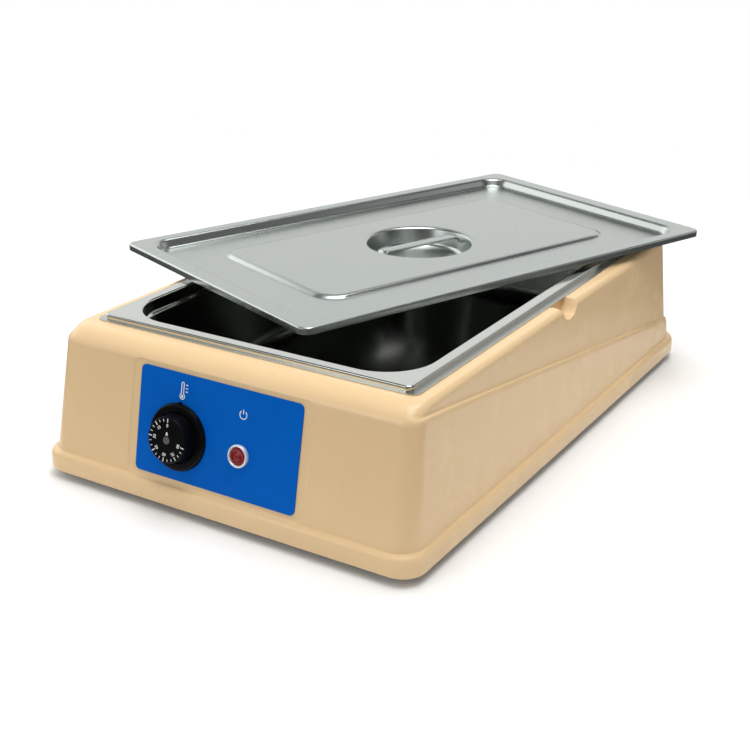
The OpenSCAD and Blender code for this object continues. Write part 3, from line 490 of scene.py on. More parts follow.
LID_MATRIX = Matrix.Translation(Vector(LID_PLACE) * MM) @ Matrix.Rotation(LID_TURN, 4, "Z")


# Housing

# Kinds of station: the corners by quadrant, then the straight runs between them
REAR_RIGHT, REAR_LEFT, FRONT_LEFT, FRONT_RIGHT, REAR_RUN, LEFT_RUN, FRONT_RUN, RIGHT_RUN = range(8)


class HousingPlan:
    """Stations round the housing: four corners, and straight runs with places that every ring keeps."""

    def __init__(self):
        self.kind, self.value = [], []
        near_scoop, near_bed = 27, PANEL_WIDTH / 2 + BED_SIDE
        left, right = PANEL_X - near_bed, PANEL_X + near_bed
        sides = stations((-235, -30, 9), (SCOOP_Y - near_scoop, SCOOP_Y + near_scoop, 61), (60, 250, 8))
        front = stations((-160, left - 4, 5), (left - 2, left + 11, 22), (left + 20, right - 20, 8),
                         (right - 11, right + 2, 22), (right + 4, 160, 5))
        self.corner(REAR_RIGHT)
        self.straight(REAR_RUN, stations((150, -150, 9)))
        self.corner(REAR_LEFT)
        self.straight(LEFT_RUN, sides[::-1])
        self.corner(FRONT_LEFT)
        self.straight(FRONT_RUN, front)
        self.corner(FRONT_RIGHT)
        self.straight(RIGHT_RUN, sides)
        self.kind, self.value = np.array(self.kind), np.array(self.value)
        self.in_corner = self.kind <= FRONT_RIGHT
        self.rear = np.isin(self.kind, (REAR_RIGHT, REAR_LEFT))
        self.sign = np.where(np.isin(self.kind, (REAR_RIGHT, FRONT_RIGHT, RIGHT_RUN)), 1, -1)
        self.on_side = np.isin(self.kind, (LEFT_RUN, RIGHT_RUN))
        angle = np.degrees(np.where(self.in_corner, self.value, 0))
        places = [self.kind == FRONT_LEFT, self.kind == FRONT_RIGHT, self.kind == FRONT_RUN]
        self.front_share = smooth(np.select(places, [(angle - 180) / 90, (360 - angle) / 90, 1.0], 0.0))

    def corner(self, quadrant):
        steps = 16
        self.straight(quadrant, arc(90 * quadrant, 90 * quadrant + 90, steps))

    def straight(self, kind, values):
        self.kind += [kind] * len(values)
        self.value += list(values)

    def ring(self, half_x, front, rear, rear_corner, front_corner, z):
        """Points of one ring; every size may differ from station to station."""
        r = np.where(self.rear, rear_corner, front_corner)
        end = np.where(self.rear, rear - r, front + r)
        corner_x = self.sign * (half_x - r) + r * np.cos(self.value)
        front_x = np.clip(self.value, -half_x + front_corner, half_x - front_corner)
        rear_x = np.clip(self.value, -half_x + rear_corner, half_x - rear_corner)
        side_y = np.clip(self.value, front + front_corner, rear - rear_corner)
        x = np.select([self.in_corner, self.on_side, self.kind == REAR_RUN],
                      [corner_x, self.sign * half_x, rear_x], front_x)
        y = np.select([self.in_corner, self.kind == REAR_RUN, self.kind == FRONT_RUN],
                      [end + r * np.sin(self.value), rear, front], side_y)
        return np.column_stack([x, y, z + 0 * x])

    def wall(self, z, inset=0.0, front_inset=None, narrower=0.0):
        """A ring on the leaning walls at height z, inset from the lower tier."""
        front_inset = inset if front_inset is None else front_inset
        up = np.asarray(z, float) - FLANGE_HEIGHT
        share = up / (BODY_HEIGHT - FLANGE_HEIGHT)
        return self.ring(BODY_WIDTH / 2 - FLANGE_STEP - up * tan(SIDE_DRAFT) - inset,
                         FRONT_Y + up * tan(FRONT_LEAN) + front_inset,
                         BODY_DEPTH / 2 - FLANGE_STEP - up * tan(REAR_LEAN) - inset,
                         REAR_CORNER - narrower,
                         FRONT_CORNER - (FRONT_CORNER - FRONT_CORNER_TOP) * share - narrower, z)

    def flange(self, inset, z):
        """A ring on the base flange."""
        share = inset / FLANGE_STEP
        return self.ring(BODY_WIDTH / 2 - inset, inset - BODY_DEPTH / 2, BODY_DEPTH / 2 - inset,
                         FLANGE_REAR_CORNER + (REAR_CORNER - FLANGE_REAR_CORNER) * share,
                         FLANGE_FRONT_CORNER + (FRONT_CORNER - FLANGE_FRONT_CORNER) * share, z)

    def shoulder_height(self, inset):
        """Height of the falling shoulder line at each station, found in rounds because the walls lean."""
        rounds = 3
        knee = FRONT_Y + (SHOULDER_Z - FLANGE_HEIGHT) * tan(FRONT_LEAN) + FRONT_CORNER
        z = np.full(len(self.kind), float(SHOULDER_Z))
        for _ in range(rounds):
            y = self.wall(z, inset, inset, inset)[:, 1]
            z = SHOULDER_Z - SHOULDER_SLOPE * np.maximum(0, y - knee)
        return z


def recessed(plan, points):
    """Presses the soft-edged bed of the control panel into the front wall."""
    up = points[:, 2] - FLANGE_HEIGHT
    wall_y = FRONT_Y + up * tan(FRONT_LEAN)
    dx = np.abs(points[:, 0] - PANEL_X) - (PANEL_WIDTH / 2 + BED_SIDE - BED_CORNER)
    ds = np.abs(up / cos(FRONT_LEAN) - PANEL_S) - (PANEL_HEIGHT / 2 + BED_END - BED_CORNER)
    outside = np.hypot(np.maximum(dx, 0), np.maximum(ds, 0)) + np.minimum(np.maximum(dx, ds), 0) - BED_CORNER
    depth = BED_DEPTH / cos(FRONT_LEAN) * smooth(np.clip(0.5 - outside / BED_EDGE, 0, 1))
    pressed = (plan.kind == FRONT_RUN) & (depth > 0)
    points[:, 1] = np.where(pressed, np.maximum(points[:, 1], wall_y + depth), points[:, 1])
    return points


def scooped(plan, points, thick=0.0):
    """Pulls the side's top edge down into the finger scoop, with a soft brim."""
    beyond, steepness = 6, 4
    radius = SCOOP_RADIUS + thick
    offset = np.abs(points[:, 1] - SCOOP_Y)
    bottom = BODY_HEIGHT + SCOOP_RADIUS - SCOOP_DEPTH - np.sqrt(np.maximum(radius ** 2 - offset ** 2, 0))
    bottom += np.maximum(offset - radius, 0) * steepness
    share = np.clip(0.5 + 0.5 * (bottom - points[:, 2]) / SCOOP_BRIM, 0, 1)
    lowered = bottom * (1 - share) + points[:, 2] * share - SCOOP_BRIM * share * (1 - share)
    points[:, 2] = np.where(plan.on_side & (offset < radius + beyond), lowered, points[:, 2])
    return points


def outer_rings(plan, ledge, ledge_in):
    """From the foot of the flange up to the edge of the flat top."""
    rings = [plan.flange(inset, rise) for rise, inset in quarter(FLANGE_EDGE, FLANGE_EDGE, 4)]
    rings += [plan.flange(inset, FLANGE_HEIGHT - drop)
              for inset, drop in quarter(FLANGE_STEP - FLANGE_FILLET, FLANGE_ROUND, 9)]
    rings += [plan.wall(FLANGE_HEIGHT + rise, -out)
              for rise, out in quarter(FLANGE_FILLET, FLANGE_FILLET, 4, 18)]
    low = FLANGE_HEIGHT + FLANGE_FILLET
    rings += [plan.wall(low + (ledge - SHOULDER_BAND - low) * share)
              for share in stations((0.008, 0.12, 11), (0.2, 0.85, 6), (0.9, 0.99, 7))]
    # From the shoulder up, the sides have a ledge and a small round, and the front has one broad round
    upper = [(ledge - drop, inset)
             for inset, drop in quarter(SHOULDER_STEP - SHOULDER_FILLET, SHOULDER_BAND, 7)]
    upper += [(ledge_in + rise, SHOULDER_STEP - out)
              for rise, out in quarter(SHOULDER_FILLET, SHOULDER_FILLET, 3, 22)]
    start = ledge_in + SHOULDER_FILLET
    upper += [(start + (BODY_HEIGHT - TOP_ROUND - start) * share, SHOULDER_STEP) for share in (0.3, 0.6, 0.9)]
    upper += [(BODY_HEIGHT - drop, SHOULDER_STEP + inset)
              for inset, drop in quarter(TOP_ROUND, TOP_ROUND, 10)]
    front_rise = BODY_HEIGHT - SHOULDER_Z + SHOULDER_BAND
    front_sweep = quarter(SHOULDER_STEP + FRONT_ROUND, front_rise, len(upper) - 1)
    for (z, inset), (front_inset, front_drop) in zip(upper, front_sweep):
        height = z + (BODY_HEIGHT - front_drop - z) * plan.front_share
        rings.append(plan.wall(height, inset, front_inset, min(inset, SHOULDER_STEP + TOP_NARROWING)))
    return [scooped(plan, recessed(plan, ring)) for ring in rings]


def top_edge(plan, z, more):
    """The ring where the top round ends, or one further in."""
    return plan.wall(z, SHOULDER_STEP + TOP_ROUND + more, SHOULDER_STEP + FRONT_ROUND + more,
                     SHOULDER_STEP + TOP_NARROWING + more)


def housing_rings():
    """The whole shell: up the outside, over the top into the well's opening, and down the inside."""
    plan = HousingPlan()
    ledge, ledge_in = plan.shoulder_height(0), plan.shoulder_height(SHOULDER_STEP)
    rings = outer_rings(plan, ledge, ledge_in)
    edge = top_edge(plan, BODY_HEIGHT, 0)
    opening = plan.ring(OPENING_X, PAN_SHIFT - OPENING_Y, PAN_SHIFT + OPENING_Y,
                        OPENING_CORNER, OPENING_CORNER, BODY_HEIGHT)
    rings += [scooped(plan, edge + (opening - edge) * share) for share in (0.06, 0.2, 0.35, 0.5, 0.58)]
    rings += [edge + (opening - edge) * 0.64, opening]

    slack, part_way, flange_inside = 1, np.array([0.36, 0.36, 0]), 6
    inset = SHOULDER_STEP + WALL
    low_opening = opening - np.array([0, 0, WALL])
    under = top_edge(plan, BODY_HEIGHT - WALL, slack)
    rings.append(low_opening)
    rings.append(scooped(plan, low_opening + (under - opening) * part_way, WALL))
    rings.append(scooped(plan, under, WALL))
    rings.append(scooped(plan, plan.wall(BODY_HEIGHT - TOP_ROUND - WALL, inset, inset, inset), WALL))
    rings.append(plan.wall(ledge_in - SHOULDER_BAND - slack, inset, inset, inset))
    rings.append(plan.wall(ledge - SHOULDER_BAND - SHOULDER_STEP - slack, WALL, WALL, WALL))
    rings.append(plan.wall(FLANGE_HEIGHT - slack, WALL, WALL, WALL))
    rings.append(plan.flange(WALL, flange_inside))
    rings.append(plan.flange(WALL, 0))
    return [ring + np.array([0, 0, GROUND_GAP]) for ring in rings]


def drilled(piece, holes):
    """Cuts round holes, given as (placing, radius), through a piece."""
    reach, sides = 14, 32
    drills = []
    for place, radius in holes:
        profile = [(0, -reach), (radius, -reach), (radius, reach), (0, reach)]
        drill = mesh_of("drill", *lathe(profile, sides), True)
        drill.transform(place)
        drills.append(drill)
    tool = linked("drills", joined("drills", drills))
    cut = piece.modifiers.new("holes", "BOOLEAN")
    cut.operation = "DIFFERENCE"
    cut.solver = "EXACT"
    cut.object = tool
    result = evaluated(piece)
    piece.modifiers.remove(cut)
    piece.data = result
    bpy.data.objects.remove(tool)


def housing():
    """Moulded shell with its panel bed, finger scoops and holes."""
    shell = add_piece("housing_shell", skin(housing_rings(), True), FINISHES["cream_moulding"], "housing",
                      "body_shell", 38)
    drilled(shell, [(front_place(KNOB_X, KNOB_S), SHAFT_HOLE),
                    (front_place(KNOB_X - SCREW_PITCH, KNOB_S), SCREW_HOLE),
                    (front_place(KNOB_X + SCREW_PITCH, KNOB_S), SCREW_HOLE),
                    (front_place(LAMP_X, LAMP_S), LAMP_HOLE),
                    (rear_place(), GLAND_HOLE)])


# Pan and lid

def pan():
    """Lift-out pan: lipped rim, round mouth, stacking step, tapered walls and a round floor edge."""
    draft, step_in, step_drop, step_rise, step_soft = tan(radians(5)), 3, 14, 2, 1.2
    floor_round, mouth_round, rim_round, straight = 15, 2, 1.4, 20
    half_x, half_y, rim_corner, mouth_corner = PAN_WIDTH / 2, PAN_LENGTH / 2, 6, 47
    mouth_x, mouth_y = half_x - RIM_WIDTH, half_y - RIM_WIDTH
    step_z = RIM_Z - step_drop

    def inset(g, z):
        return (mouth_x - g, mouth_y - g, mouth_corner - g, z)

    def rim_edge(g, z):
        return (half_x - g, half_y - g, rim_corner - g, z)

    def floor_edge(s):
        foot = step_in + (step_z - PAN_FLOOR_Z) * draft
        rows = []
        for rise, way_in in quarter(floor_round + s, floor_round + s, 10):
            z = PAN_FLOOR_Z + SHEET - s + rise
            rows.append(inset(foot + way_in - (z - PAN_FLOOR_Z) * draft - s, z))
        return rows

    def walls(s):
        low, high = PAN_FLOOR_Z + straight, RIM_Z - mouth_round - SHEET - 3
        rows = [inset(step_in - s + (step_z - low) * draft, low), inset(step_in - s, step_z - s),
                inset(-s, step_z + step_rise), inset(-s, high)]
        return soften(rows, step_soft, 3)

    lip = [rim_edge(SHEET, RIM_Z - SHEET), rim_edge(SHEET, SEAT_Z), rim_edge(0, SEAT_Z)]
    outer = [rim_edge(way_in, RIM_Z - drop) for way_in, drop in quarter(rim_round, rim_round, 5)]
    flat = [rim_edge(rim_round + 0.8, RIM_Z), inset(-mouth_round - 1, RIM_Z)]
    mouth = [inset(-out, RIM_Z - drop) for drop, out in quarter(mouth_round, mouth_round, 6)]
    rows = floor_edge(SHEET) + walls(SHEET) + [inset(-SHEET - 1, RIM_Z - SHEET)] + lip
    rows += outer + flat + mouth + walls(0)[::-1] + floor_edge(0)[::-1]
    rings = [plan_ring(*row) + np.array([0, PAN_SHIFT, 0]) for row in rows]
    add_piece("pan_pressing", skin(rings), PAN_STEEL, "pan", "gastro_pan", 50)


def lid():
    """Loose lid pressed from one sheet: handle cup, raised middle, channel, flange and turned-down lip."""
    half_x, half_y, corner, edge = LID_WIDTH / 2, LID_LENGTH / 2, 11, 2
    flange, end_flange, slope, inner_corner = 15, 18, 5.5, 19
    rise_x, rise_y, rise_corner, rise_slope, end_slope = 95.5, 188, 20, 2.4, 5
    settle, brim, crown, crown_drop = 1.0, 3.5, 3.4, 0.8
    middle, cup_depth = LID_RISE - LID_CHANNEL - settle, CUP_DEPTH - settle
    inner_x, inner_y = half_x - flange, half_y - end_flange
    foot_corner = rise_corner + crown + rise_slope

    def pressed(s):
        floor_round = CUP_FLOOR_ROUND + s
        cup = [(CUP_RADIUS + s - CUP_LIP - CUP_TAPER - way_in, middle - cup_depth - s + rise)
               for rise, way_in in quarter(floor_round, floor_round, 8)]
        cup += [(CUP_RADIUS - CUP_LIP + s + out, middle - s - drop)
                for out, drop in quarter(CUP_LIP + brim - s, CUP_LIP - s, 10)]
        beside_cup = CUP_RADIUS + brim + 1
        folds = [(beside_cup, beside_cup, beside_cup, middle - s),
                 (rise_x - crown, rise_y - crown, rise_corner, middle - s),
                 (rise_x, rise_y, rise_corner + crown, middle - crown_drop - s),
                 (rise_x + rise_slope, rise_y + end_slope, foot_corner, -LID_CHANNEL - s),
                 (inner_x - slope + s / 2, inner_y - slope + s / 2, inner_corner, -LID_CHANNEL - s),
                 (inner_x + s / 2, inner_y + s / 2, inner_corner + slope, -s),
                 (half_x - edge - 1, half_y - edge - 1, corner - edge, -s)]
        # The folds of the raised middle are crisper than those of the channel's outer side
        crisp, easy = soften(folds[:5], 1.0, 4), soften(folds[3:], 2.6, 6)
        return [(r, r, r, z) for r, z in cup] + crisp[:-1] + easy[1:]

    def lip_edge(g, z):
        return (half_x - g, half_y - g, corner - g, z)

    outer = [lip_edge(way_in, -drop) for way_in, drop in quarter(edge, edge, 6)]
    rows = pressed(SHEET) + [lip_edge(edge, -SHEET), lip_edge(SHEET, -edge), lip_edge(SHEET, -LID_LIP)]
    rows += [lip_edge(0, -LID_LIP)] + outer + pressed(0)[::-1]
    rings = [plan_ring(*row) for row in rows]
    add_piece("lid_pressing", skin(rings), LID_STEEL, "lid", "lid", 50, LID_MATRIX)


def lid_strap():
    """Handle strap across the cup, its ends turned down to the cup's wall."""
    clearance, steps = 0.35, 10
    cup_wall = CUP_DEPTH - CUP_FLOOR_ROUND - CUP_LIP
    wall_radius = CUP_RADIUS - CUP_LIP - CUP_TAPER * (STRAP_BELOW + STRAP_TURN - CUP_LIP) / cup_wall
    reach = sqrt(wall_radius ** 2 - STRAP_WIDTH ** 2 / 4) - clearance
    top = LID_RISE - LID_CHANNEL - STRAP_BELOW
    centre = reach - STRAP_TURN

    def bend(side, radius, first, last):
        return [(side * (centre + radius * sin(a)), top - STRAP_TURN + radius * cos(a))
                for a in arc(first, last, steps)]

    under = STRAP_TURN - STRAP_THICK
    loop = np.array(bend(1, STRAP_TURN, 90, 0) + bend(-1, STRAP_TURN, 0, 90)
                    + bend(-1, under, 90, 0) + bend(1, under, 0, 90))
    ahead = np.roll(loop, -1, axis=0) - np.roll(loop, 1, axis=0)
    normal = np.column_stack([ahead[:, 1], -ahead[:, 0]]) / np.linalg.norm(ahead, axis=1)[:, None]
    # The long edges are rounded: way in from the edge, and how far the outline draws in there
    half, edge_round = STRAP_WIDTH / 2, [(0, 0.5), (0.15, 0.15), (0.5, 0)]
    cuts = [(-half + way_in, shrink) for way_in, shrink in edge_round]
    cuts += [(half - way_in, shrink) for way_in, shrink in edge_round[::-1]]
    rings = [np.column_stack([np.full(len(loop), x), loop - normal * shrink]) for x, shrink in cuts]
    add_piece("lid_strap", skin(rings), LID_STEEL, "lid", "lid_handle", 50, LID_MATRIX)


# Knob, dial and lamp

def knob():
    """Turned knob with a hollow skirt and a seat for its cap, in a bevelled fixed ring with an index nib."""
    place = front_place(KNOB_X, KNOB_S, PANEL_OUT)
    black = FINISHES["black_plastic"]
    sides = 128
    taper, crown, shell, roof, gap, foot_edge = 1.5, 1.2, 2.2, 3, 0.8, 0.4
    seat_radius, seat_depth = 3.35, 1
    inside, face = KNOB_HEIGHT - roof, KNOB_RADIUS - taper
    profile = [(0, inside), (face - shell, inside), (KNOB_RADIUS - shell, gap),
               (KNOB_RADIUS - foot_edge, gap), (KNOB_RADIUS, gap + foot_edge)]
    profile += [(face - way_in, KNOB_HEIGHT - drop) for way_in, drop in quarter(crown, crown, 6)]
    profile += [(face - crown - 0.6, KNOB_HEIGHT), (seat_radius, KNOB_HEIGHT),
                (seat_radius, KNOB_HEIGHT - seat_depth), (0, KNOB_HEIGHT - seat_depth)]
    add_piece("knob_turning", lathe(profile, sides), black, "knob", "thermostat_knob", 40,
              place)

    height, bevel, bore_edge, bore = 3.6, 2.4, 0.5, KNOB_RADIUS + TURN_GAP
    ring = [(bore, 0), (BEZEL_RADIUS, 0), (BEZEL_RADIUS, height - bevel)]
    ring += [(BEZEL_RADIUS - way_in, height - drop) for way_in, drop in quarter(bevel, bevel, 7, 10)]
    ring += [(bore + bore_edge, height), (bore, height - bore_edge)]
    verts, faces = lathe(ring, sides)
    nib_foot, nib_tip, nib_height = 2.6, 1.2, 1.8
    inner, outer = BEZEL_RADIUS - 1.2, BEZEL_RADIUS + 1.5
    plan = [(-nib_foot, inner), (nib_foot, inner), (nib_tip, outer), (-nib_tip, outer)]
    nib = [(x, y, z) for z in (0, nib_height) for x, y in plan]
    block = ((3, 2, 1, 0), (4, 5, 6, 7), (0, 1, 5, 4), (1, 2, 6, 5), (2, 3, 7, 6), (3, 0, 4, 7))
    faces += [tuple(len(verts) + i for i in face) for face in block]
    form = (np.concatenate([verts, nib]), faces)
    add_piece("knob_ring", form, black, "housing", "knob_bezel", 40, place)


DIAL_STEPS, DIAL_SWEEP = 7, radians(260)
STROKES_PER_STEP = 3
PRINT_THICK = 0.08


def dial_tree():
    """Strokes on an arc: those at a number are longer and wider."""
    short, thin = 0.62, 0.7
    tree = bpy.data.node_groups.new("dial_strokes", "GeometryNodeTree")
    kinds = {"Strokes": "NodeSocketInt", "Sweep": "NodeSocketFloat", "Radius": "NodeSocketFloat",
             "Length": "NodeSocketFloat", "Width": "NodeSocketFloat", "Height": "NodeSocketFloat",
             "Finish": "NodeSocketMaterial"}
    sizes = {name: tree.interface.new_socket(name=name, in_out="INPUT", socket_type=kind)
             for name, kind in kinds.items()}
    tree.interface.new_socket(name="Geometry", in_out="OUTPUT", socket_type="NodeSocketGeometry")
    g = Graph(tree)
    source = tree.nodes.new("NodeGroupInput")
    given = {name: Socket(g, source.outputs[name]) for name in sizes}
    index = g.node("GeometryNodeInputIndex")
    angle = index * given["Sweep"] / (given["Strokes"] - 1) + pi / 2
    x = angle.math("COSINE", angle) * given["Radius"]
    y = angle.math("SINE", angle) * given["Radius"]
    major = angle.math("COMPARE", index.math("MODULO", index, STROKES_PER_STEP), 0.0)
    spot = g.node("ShaderNodeCombineXYZ", None, {"X": x, "Y": y})
    dots = g.node("GeometryNodePoints", None, {"Count": given["Strokes"], "Position": spot})
    size = g.node("ShaderNodeCombineXYZ", None,
                  {"X": given["Length"], "Y": given["Width"], "Z": given["Height"]})
    bar = g.node("GeometryNodeMeshCube", None, {"Size": size})
    turn = g.node("ShaderNodeCombineXYZ", None, {"Z": angle})
    grow = g.node("ShaderNodeCombineXYZ", None,
                  {"X": short + major * (1 - short), "Y": thin + major * (1 - thin), "Z": 1.0})
    strokes = g.node("GeometryNodeInstanceOnPoints", None,
                     {"Points": dots, "Instance": bar, "Rotation": turn, "Scale": grow})
    real = g.node("GeometryNodeRealizeInstances", None, {0: strokes})
    dressed = g.node("GeometryNodeSetMaterial", None, {"Geometry": real, "Material": given["Finish"]})
    g.node("NodeGroupOutput", None, {0: dressed})
    return tree, sizes


def grown(name, tree, sizes, values):
    """The plain mesh that a tree makes from these values."""
    holder = linked(name, bpy.data.meshes.new(name))
    modifier = holder.modifiers.new("grow", "NODES")
    modifier.node_group = tree
    for key, value in values.items():
        modifier[sizes[key].identifier] = value
    mesh = evaluated(holder)
    bpy.data.objects.remove(holder)
    return mesh


def figure(text, size, place):
    """A flat number as a mesh, in metres, centred on its place."""
    bolder = 0.06
    curve = bpy.data.curves.new("figure", "FONT")
    curve.body = text
    curve.size = size * MM
    curve.align_x = "CENTER"
    curve.align_y = "CENTER"
    curve.extrude = PRINT_THICK / 2 * MM
    curve.offset = bolder * MM
    holder = linked("figure", curve)
    mesh = evaluated(holder)
    bpy.data.objects.remove(holder)
    mesh.transform(place)
    return mesh


def stroke(path, width):
    """A printed line of even width along a path of (x, y) points, as a mesh in metres."""
    points = np.array(path, float)
    ahead = np.gradient(points, axis=0)
    ahead /= np.linalg.norm(ahead, axis=1)[:, None]
    side = np.column_stack([-ahead[:, 1], ahead[:, 0]]) * width / 2
    rings = []
    for (ax, ay), (bx, by) in zip(points - side, points + side):
        rings.append([(ax, ay, 0), (bx, by, 0), (bx, by, PRINT_THICK), (ax, ay, PRINT_THICK)])
    return mesh_of("stroke", *skin(rings), True)


def printed(name, meshes, body, place):
    """A white print made of several meshes."""
    dress(name, joined(name, meshes), PRINT, body, 30, place)


def dial():
    """White scale on the knob's face: strokes, plain numbers and a pointer over the cap."""
    number_step, number_radius, number_size, lift = 15, 12.9, 3.9, 0.05
    count = STROKES_PER_STEP * (DIAL_STEPS - 1) + 1
    tree, sizes = dial_tree()
    strokes = grown("dial_strokes", tree, sizes,
                    {"Strokes": count, "Sweep": DIAL_SWEEP, "Radius": 17.6 * MM, "Length": 3.6 * MM,
                     "Width": 0.85 * MM, "Height": 0.1 * MM, "Finish": PRINT})
    numbers = []
    for k in range(DIAL_STEPS):
        turn = Matrix.Rotation(DIAL_SWEEP * k / (DIAL_STEPS - 1), 4, "Z")
        spot = turn @ Matrix.Translation(Vector((0, number_radius, 0)) * MM)
        numbers.append(figure(str(number_step * k), number_size, spot))
    pointer = [stroke([(0, 5.2), (0, 6.2), (0, 7.2)], 1.5), stroke([(-1.5, 4.6), (0, 4.9), (1.5, 4.6)], 0.6)]
    printed("dial_print", [strokes] + numbers + pointer, "knob",
            front_place(KNOB_X, KNOB_S, PANEL_OUT + KNOB_HEIGHT + lift))


def panel_signs():
    """Plain signs printed on the panel: a thermometer over the knob and a mains sign over the lamp."""
    line, tube, bulb_radius, bulb_y, top_y = 0.9, 1.25, 2.5, -5.2, 6
    bulb = stroke([(bulb_radius * cos(a), bulb_radius * sin(a) + bulb_y) for a in arc(-240, 60, 24)], line)
    stem = [stroke([(x, -3.1), (x, 1.5), (x, top_y)], line) for x in (-tube, tube)]
    cap = stroke([(tube * cos(a), top_y + tube * sin(a)) for a in arc(0, 180, 10)], line)
    core = stroke([(0, -6.4), (0, bulb_y), (0, -4)], 2.2)
    marks = [stroke([(3.4, y), (4.5, y), (5.6, y)], line) for y in (-0.6, 2.4, 5.4)]
    printed("thermometer_sign", [bulb, cap, core] + stem + marks, "housing",
            front_place(KNOB_X + 1, KNOB_S + 42, PANEL_OUT))

    line, radius = 0.85, 3.6
    loop = stroke([(radius * sin(a), radius * cos(a)) for a in arc(35, 325, 30)], line)
    bar = stroke([(0, 0.6), (0, 2.6), (0, 4.6)], line)
    printed("mains_sign", [loop, bar], "housing", front_place(LAMP_X + 1, LAMP_S + 36, PANEL_OUT))


def lamp():
    """Pilot lamp: bright ring with a rolled edge and a recessed lens cut in facets."""
    place = front_place(LAMP_X, LAMP_S, PANEL_OUT)
    height, roll, bore, seat, lead = 3.4, 1.1, 6.3, 1.0, 0.5
    inner, sides = LENS_RADIUS + 0.1, 96
    ring = [(bore, 0), (LAMP_RADIUS, 0)]
    ring += [(LAMP_RADIUS - way_in, height - drop) for way_in, drop in quarter(roll, roll, 6)]
    ring += [(LENS_RADIUS + lead, height), (inner, height - lead), (inner, seat), (bore, seat)]
    add_piece("lamp_ring", lathe(ring, sides), FINISHES["chrome_ring"], "housing",
              "lamp_bezel", 40, place)

    # Facets: rings of alternate high and low points, turned by half a step from ring to ring
    count, peak = 14, 2.5
    rows = [(LENS_RADIUS, seat), (LENS_RADIUS, 1.5), (6.2, 2.75), (4.1, 2.2), (2.1, 3.0)]
    verts = []
    for k, (r, z) in enumerate(rows):
        turn = 0 if k < 2 else (k % 2) * pi / count
        angles = [2 * pi * i / count + turn for i in range(count)]
        verts += [(r * cos(a), r * sin(a), z) for a in angles]
    faces = [tuple(range(count - 1, -1, -1))]
    for k in range(len(rows) - 1):
        for i in range(count):
            j = (i + 1) % count
            a, b, c, d = k * count + i, k * count + j, (k + 1) * count + j, (k + 1) * count + i
            faces += [(a, b, d), (b, c, d)]
    last = (len(rows) - 1) * count
    faces += [(last + i, last + (i + 1) % count, len(verts)) for i in range(count)]
    verts.append((0, 0, peak))
    add_piece("lamp_facets", (verts, faces), FINISHES["red_lens"], "housing", "lamp_lens", 1,
              place)


# Studio

CAMERA_PLACE = Vector((624.78, -1071.61, 545.07))
CAMERA_YAW, CAMERA_PITCH, CAMERA_ROLL = radians(31.28), radians(22.37), radians(0.39)
CAMERA_LENS, CAMERA_SENSOR, CAMERA_NEAR = 61.73, 36, 0.05


def camera():
    """The photograph's camera."""
    ahead = Vector((-sin(CAMERA_YAW) * cos(CAMERA_PITCH), cos(CAMERA_YAW) * cos(CAMERA_PITCH),
                    -sin(CAMERA_PITCH)))
    right = Vector((cos(CAMERA_YAW), sin(CAMERA_YAW), 0))
    down = ahead.cross(right)
    across = right * cos(CAMERA_ROLL) - down * sin(CAMERA_ROLL)
    below = right * sin(CAMERA_ROLL) + down * cos(CAMERA_ROLL)
    data = bpy.data.cameras.new("photo_camera")
    data.lens = CAMERA_LENS
    data.sensor_width = CAMERA_SENSOR
    data.clip_start = CAMERA_NEAR
    eye = linked("photo_camera", data)
    turn = Matrix((across, -below, -ahead)).transposed().to_4x4()
    eye.matrix_world = Matrix.Translation(CAMERA_PLACE * MM) @ turn
    bpy.context.scene.camera = eye


def world(level):
    """White where the camera sees it, a dim plain room for all other rays."""
    scene_world = bpy.data.worlds.new("studio")
    scene_world.use_nodes = True
    g = Graph(scene_world.node_tree)
    seen = g.node("ShaderNodeLightPath", out="Is Camera Ray")
    sky = g.node("ShaderNodeBackground", None,
                 {"Color": rgb(1, 1, 1), "Strength": level + seen * (1.0 - level)})
    g.node("ShaderNodeOutputWorld", None, {"Surface": sky})
    bpy.context.scene.world = scene_world


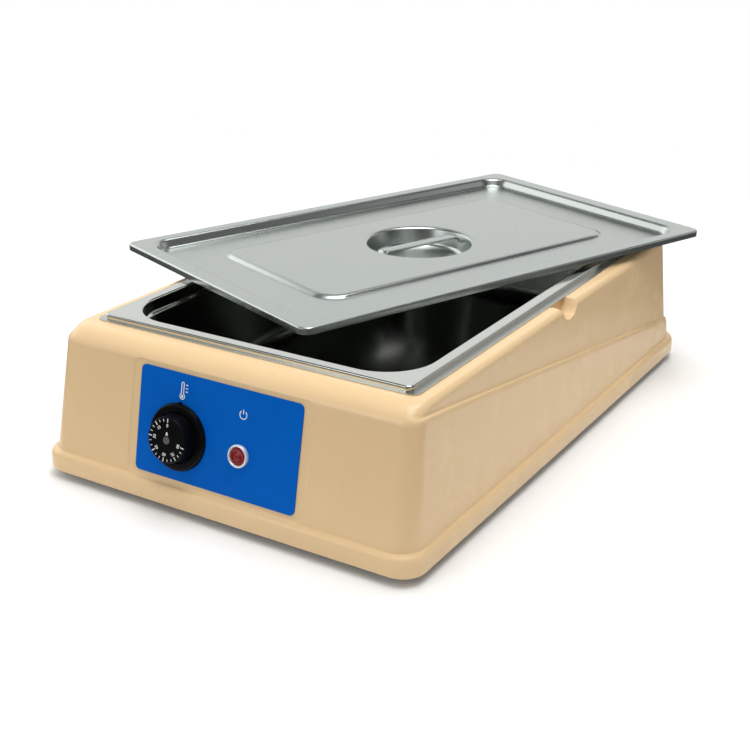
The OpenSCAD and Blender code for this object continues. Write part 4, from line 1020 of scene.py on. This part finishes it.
def floor(tone):
    """Pale studio floor: keeps the shadow and thins out into the white surroundings, sooner in mirrors."""
    radius, sides, seen_fade, mirror_fade = 1.3, 96, (0.6, 1.2), (0.38, 0.6)
    material = bpy.data.materials.new("studio_floor")
    material.use_nodes = True
    g = Graph(material.node_tree)
    near = g.node("ShaderNodeBsdfDiffuse", None, {"Color": rgb(tone, tone, tone * 0.99)})
    far = g.node("ShaderNodeBsdfTransparent")
    place = g.node("ShaderNodeTexCoord", out="Object")
    reach = g.node("ShaderNodeVectorMath", {"operation": "LENGTH"}, {0: place}, out="Value")
    seen, mirrored = [g.node("ShaderNodeMapRange", {"interpolation_type": "SMOOTHSTEP"},
                             {"Value": reach, "From Min": first, "From Max": last})
                      for first, last in (seen_fade, mirror_fade)]
    glossy = g.node("ShaderNodeLightPath", out="Is Glossy Ray")
    clear = seen.math("MAXIMUM", seen, glossy * mirrored)
    both = g.node("ShaderNodeMixShader", None, {0: clear, 1: near, 2: far})
    g.node("ShaderNodeOutputMaterial", None, {"Surface": both})
    mesh = bpy.data.meshes.new("studio_floor")
    rim = [(radius * cos(a), radius * sin(a), 0) for a in arc(0, 360 - 360 / sides, sides - 1)]
    mesh.from_pydata(rim, [], [tuple(range(len(rim)))])
    mesh.materials.append(material)
    linked("studio_floor", mesh)


def softbox(name, place, target, size, power, mirrored=True):
    """A rectangular lamp facing its target, in metres and watts; mirrors show it or not."""
    data = bpy.data.lights.new(name, "AREA")
    data.shape = "RECTANGLE"
    data.size, data.size_y = size
    data.energy = power
    box = linked(name, data)
    away = Vector(place) - Vector(target)
    box.matrix_world = Matrix.Translation(Vector(place)) @ away.to_track_quat("Z", "Y").to_matrix().to_4x4()
    box.visible_camera = False
    box.visible_glossy = mirrored


# The nodes that stay get their finishes, and then the dressed pieces and the studio are made
for part in frame["record"]["subparts"]:
    for slot in frame["nodes"][part["node"]].material_slots:
        slot.material = FINISHES[part["material_slot"]]

housing()
pan()
lid()
lid_strap()
knob()
dial()
panel_signs()
lamp()

camera()
world(0.1)
floor(0.88)
softbox("ceiling", (0, 0, 2.5), (0, 0, 0), (4.0, 4.0), 46, False)
softbox("overhead", (0.15, 0.1, 2.2), (0, 0, 0.1), (2.0, 1.2), 33)
softbox("white_sweep", (-1.09, 2.15, 1.05), (0, 0.1, 0.15), (3.2, 1.7), 14.5)
softbox("left_card", (-2.28, 0.08, 1.17), (0, 0, 0.15), (2.5, 1.6), 20)
softbox("front_fill", (0.1, -2.4, 1.3), (0, 0, 0.1), (3.0, 1.6), 6, False)
softbox("front_lamp", (-0.75, -2.25, 1.2), (0, 0, 0.12), (1.0, 0.8), 6.5)
softbox("right_fill", (2.2, -0.3, 0.9), (0, 0, 0.1), (1.8, 1.2), 4, False)
softbox("front_left_card", (-1.75, -1.65, 1.05), (0, 0, 0.15), (2.0, 1.4), 4.8)
softbox("front_right_card", (2.1, -1.25, 1.0), (0, 0, 0.15), (1.7, 1.3), 2)
softbox("back_right_card", (1.55, 1.75, 1.05), (0, 0, 0.15), (1.9, 1.3), 4.2)
bpy.context.scene.view_settings.view_transform = "Standard"
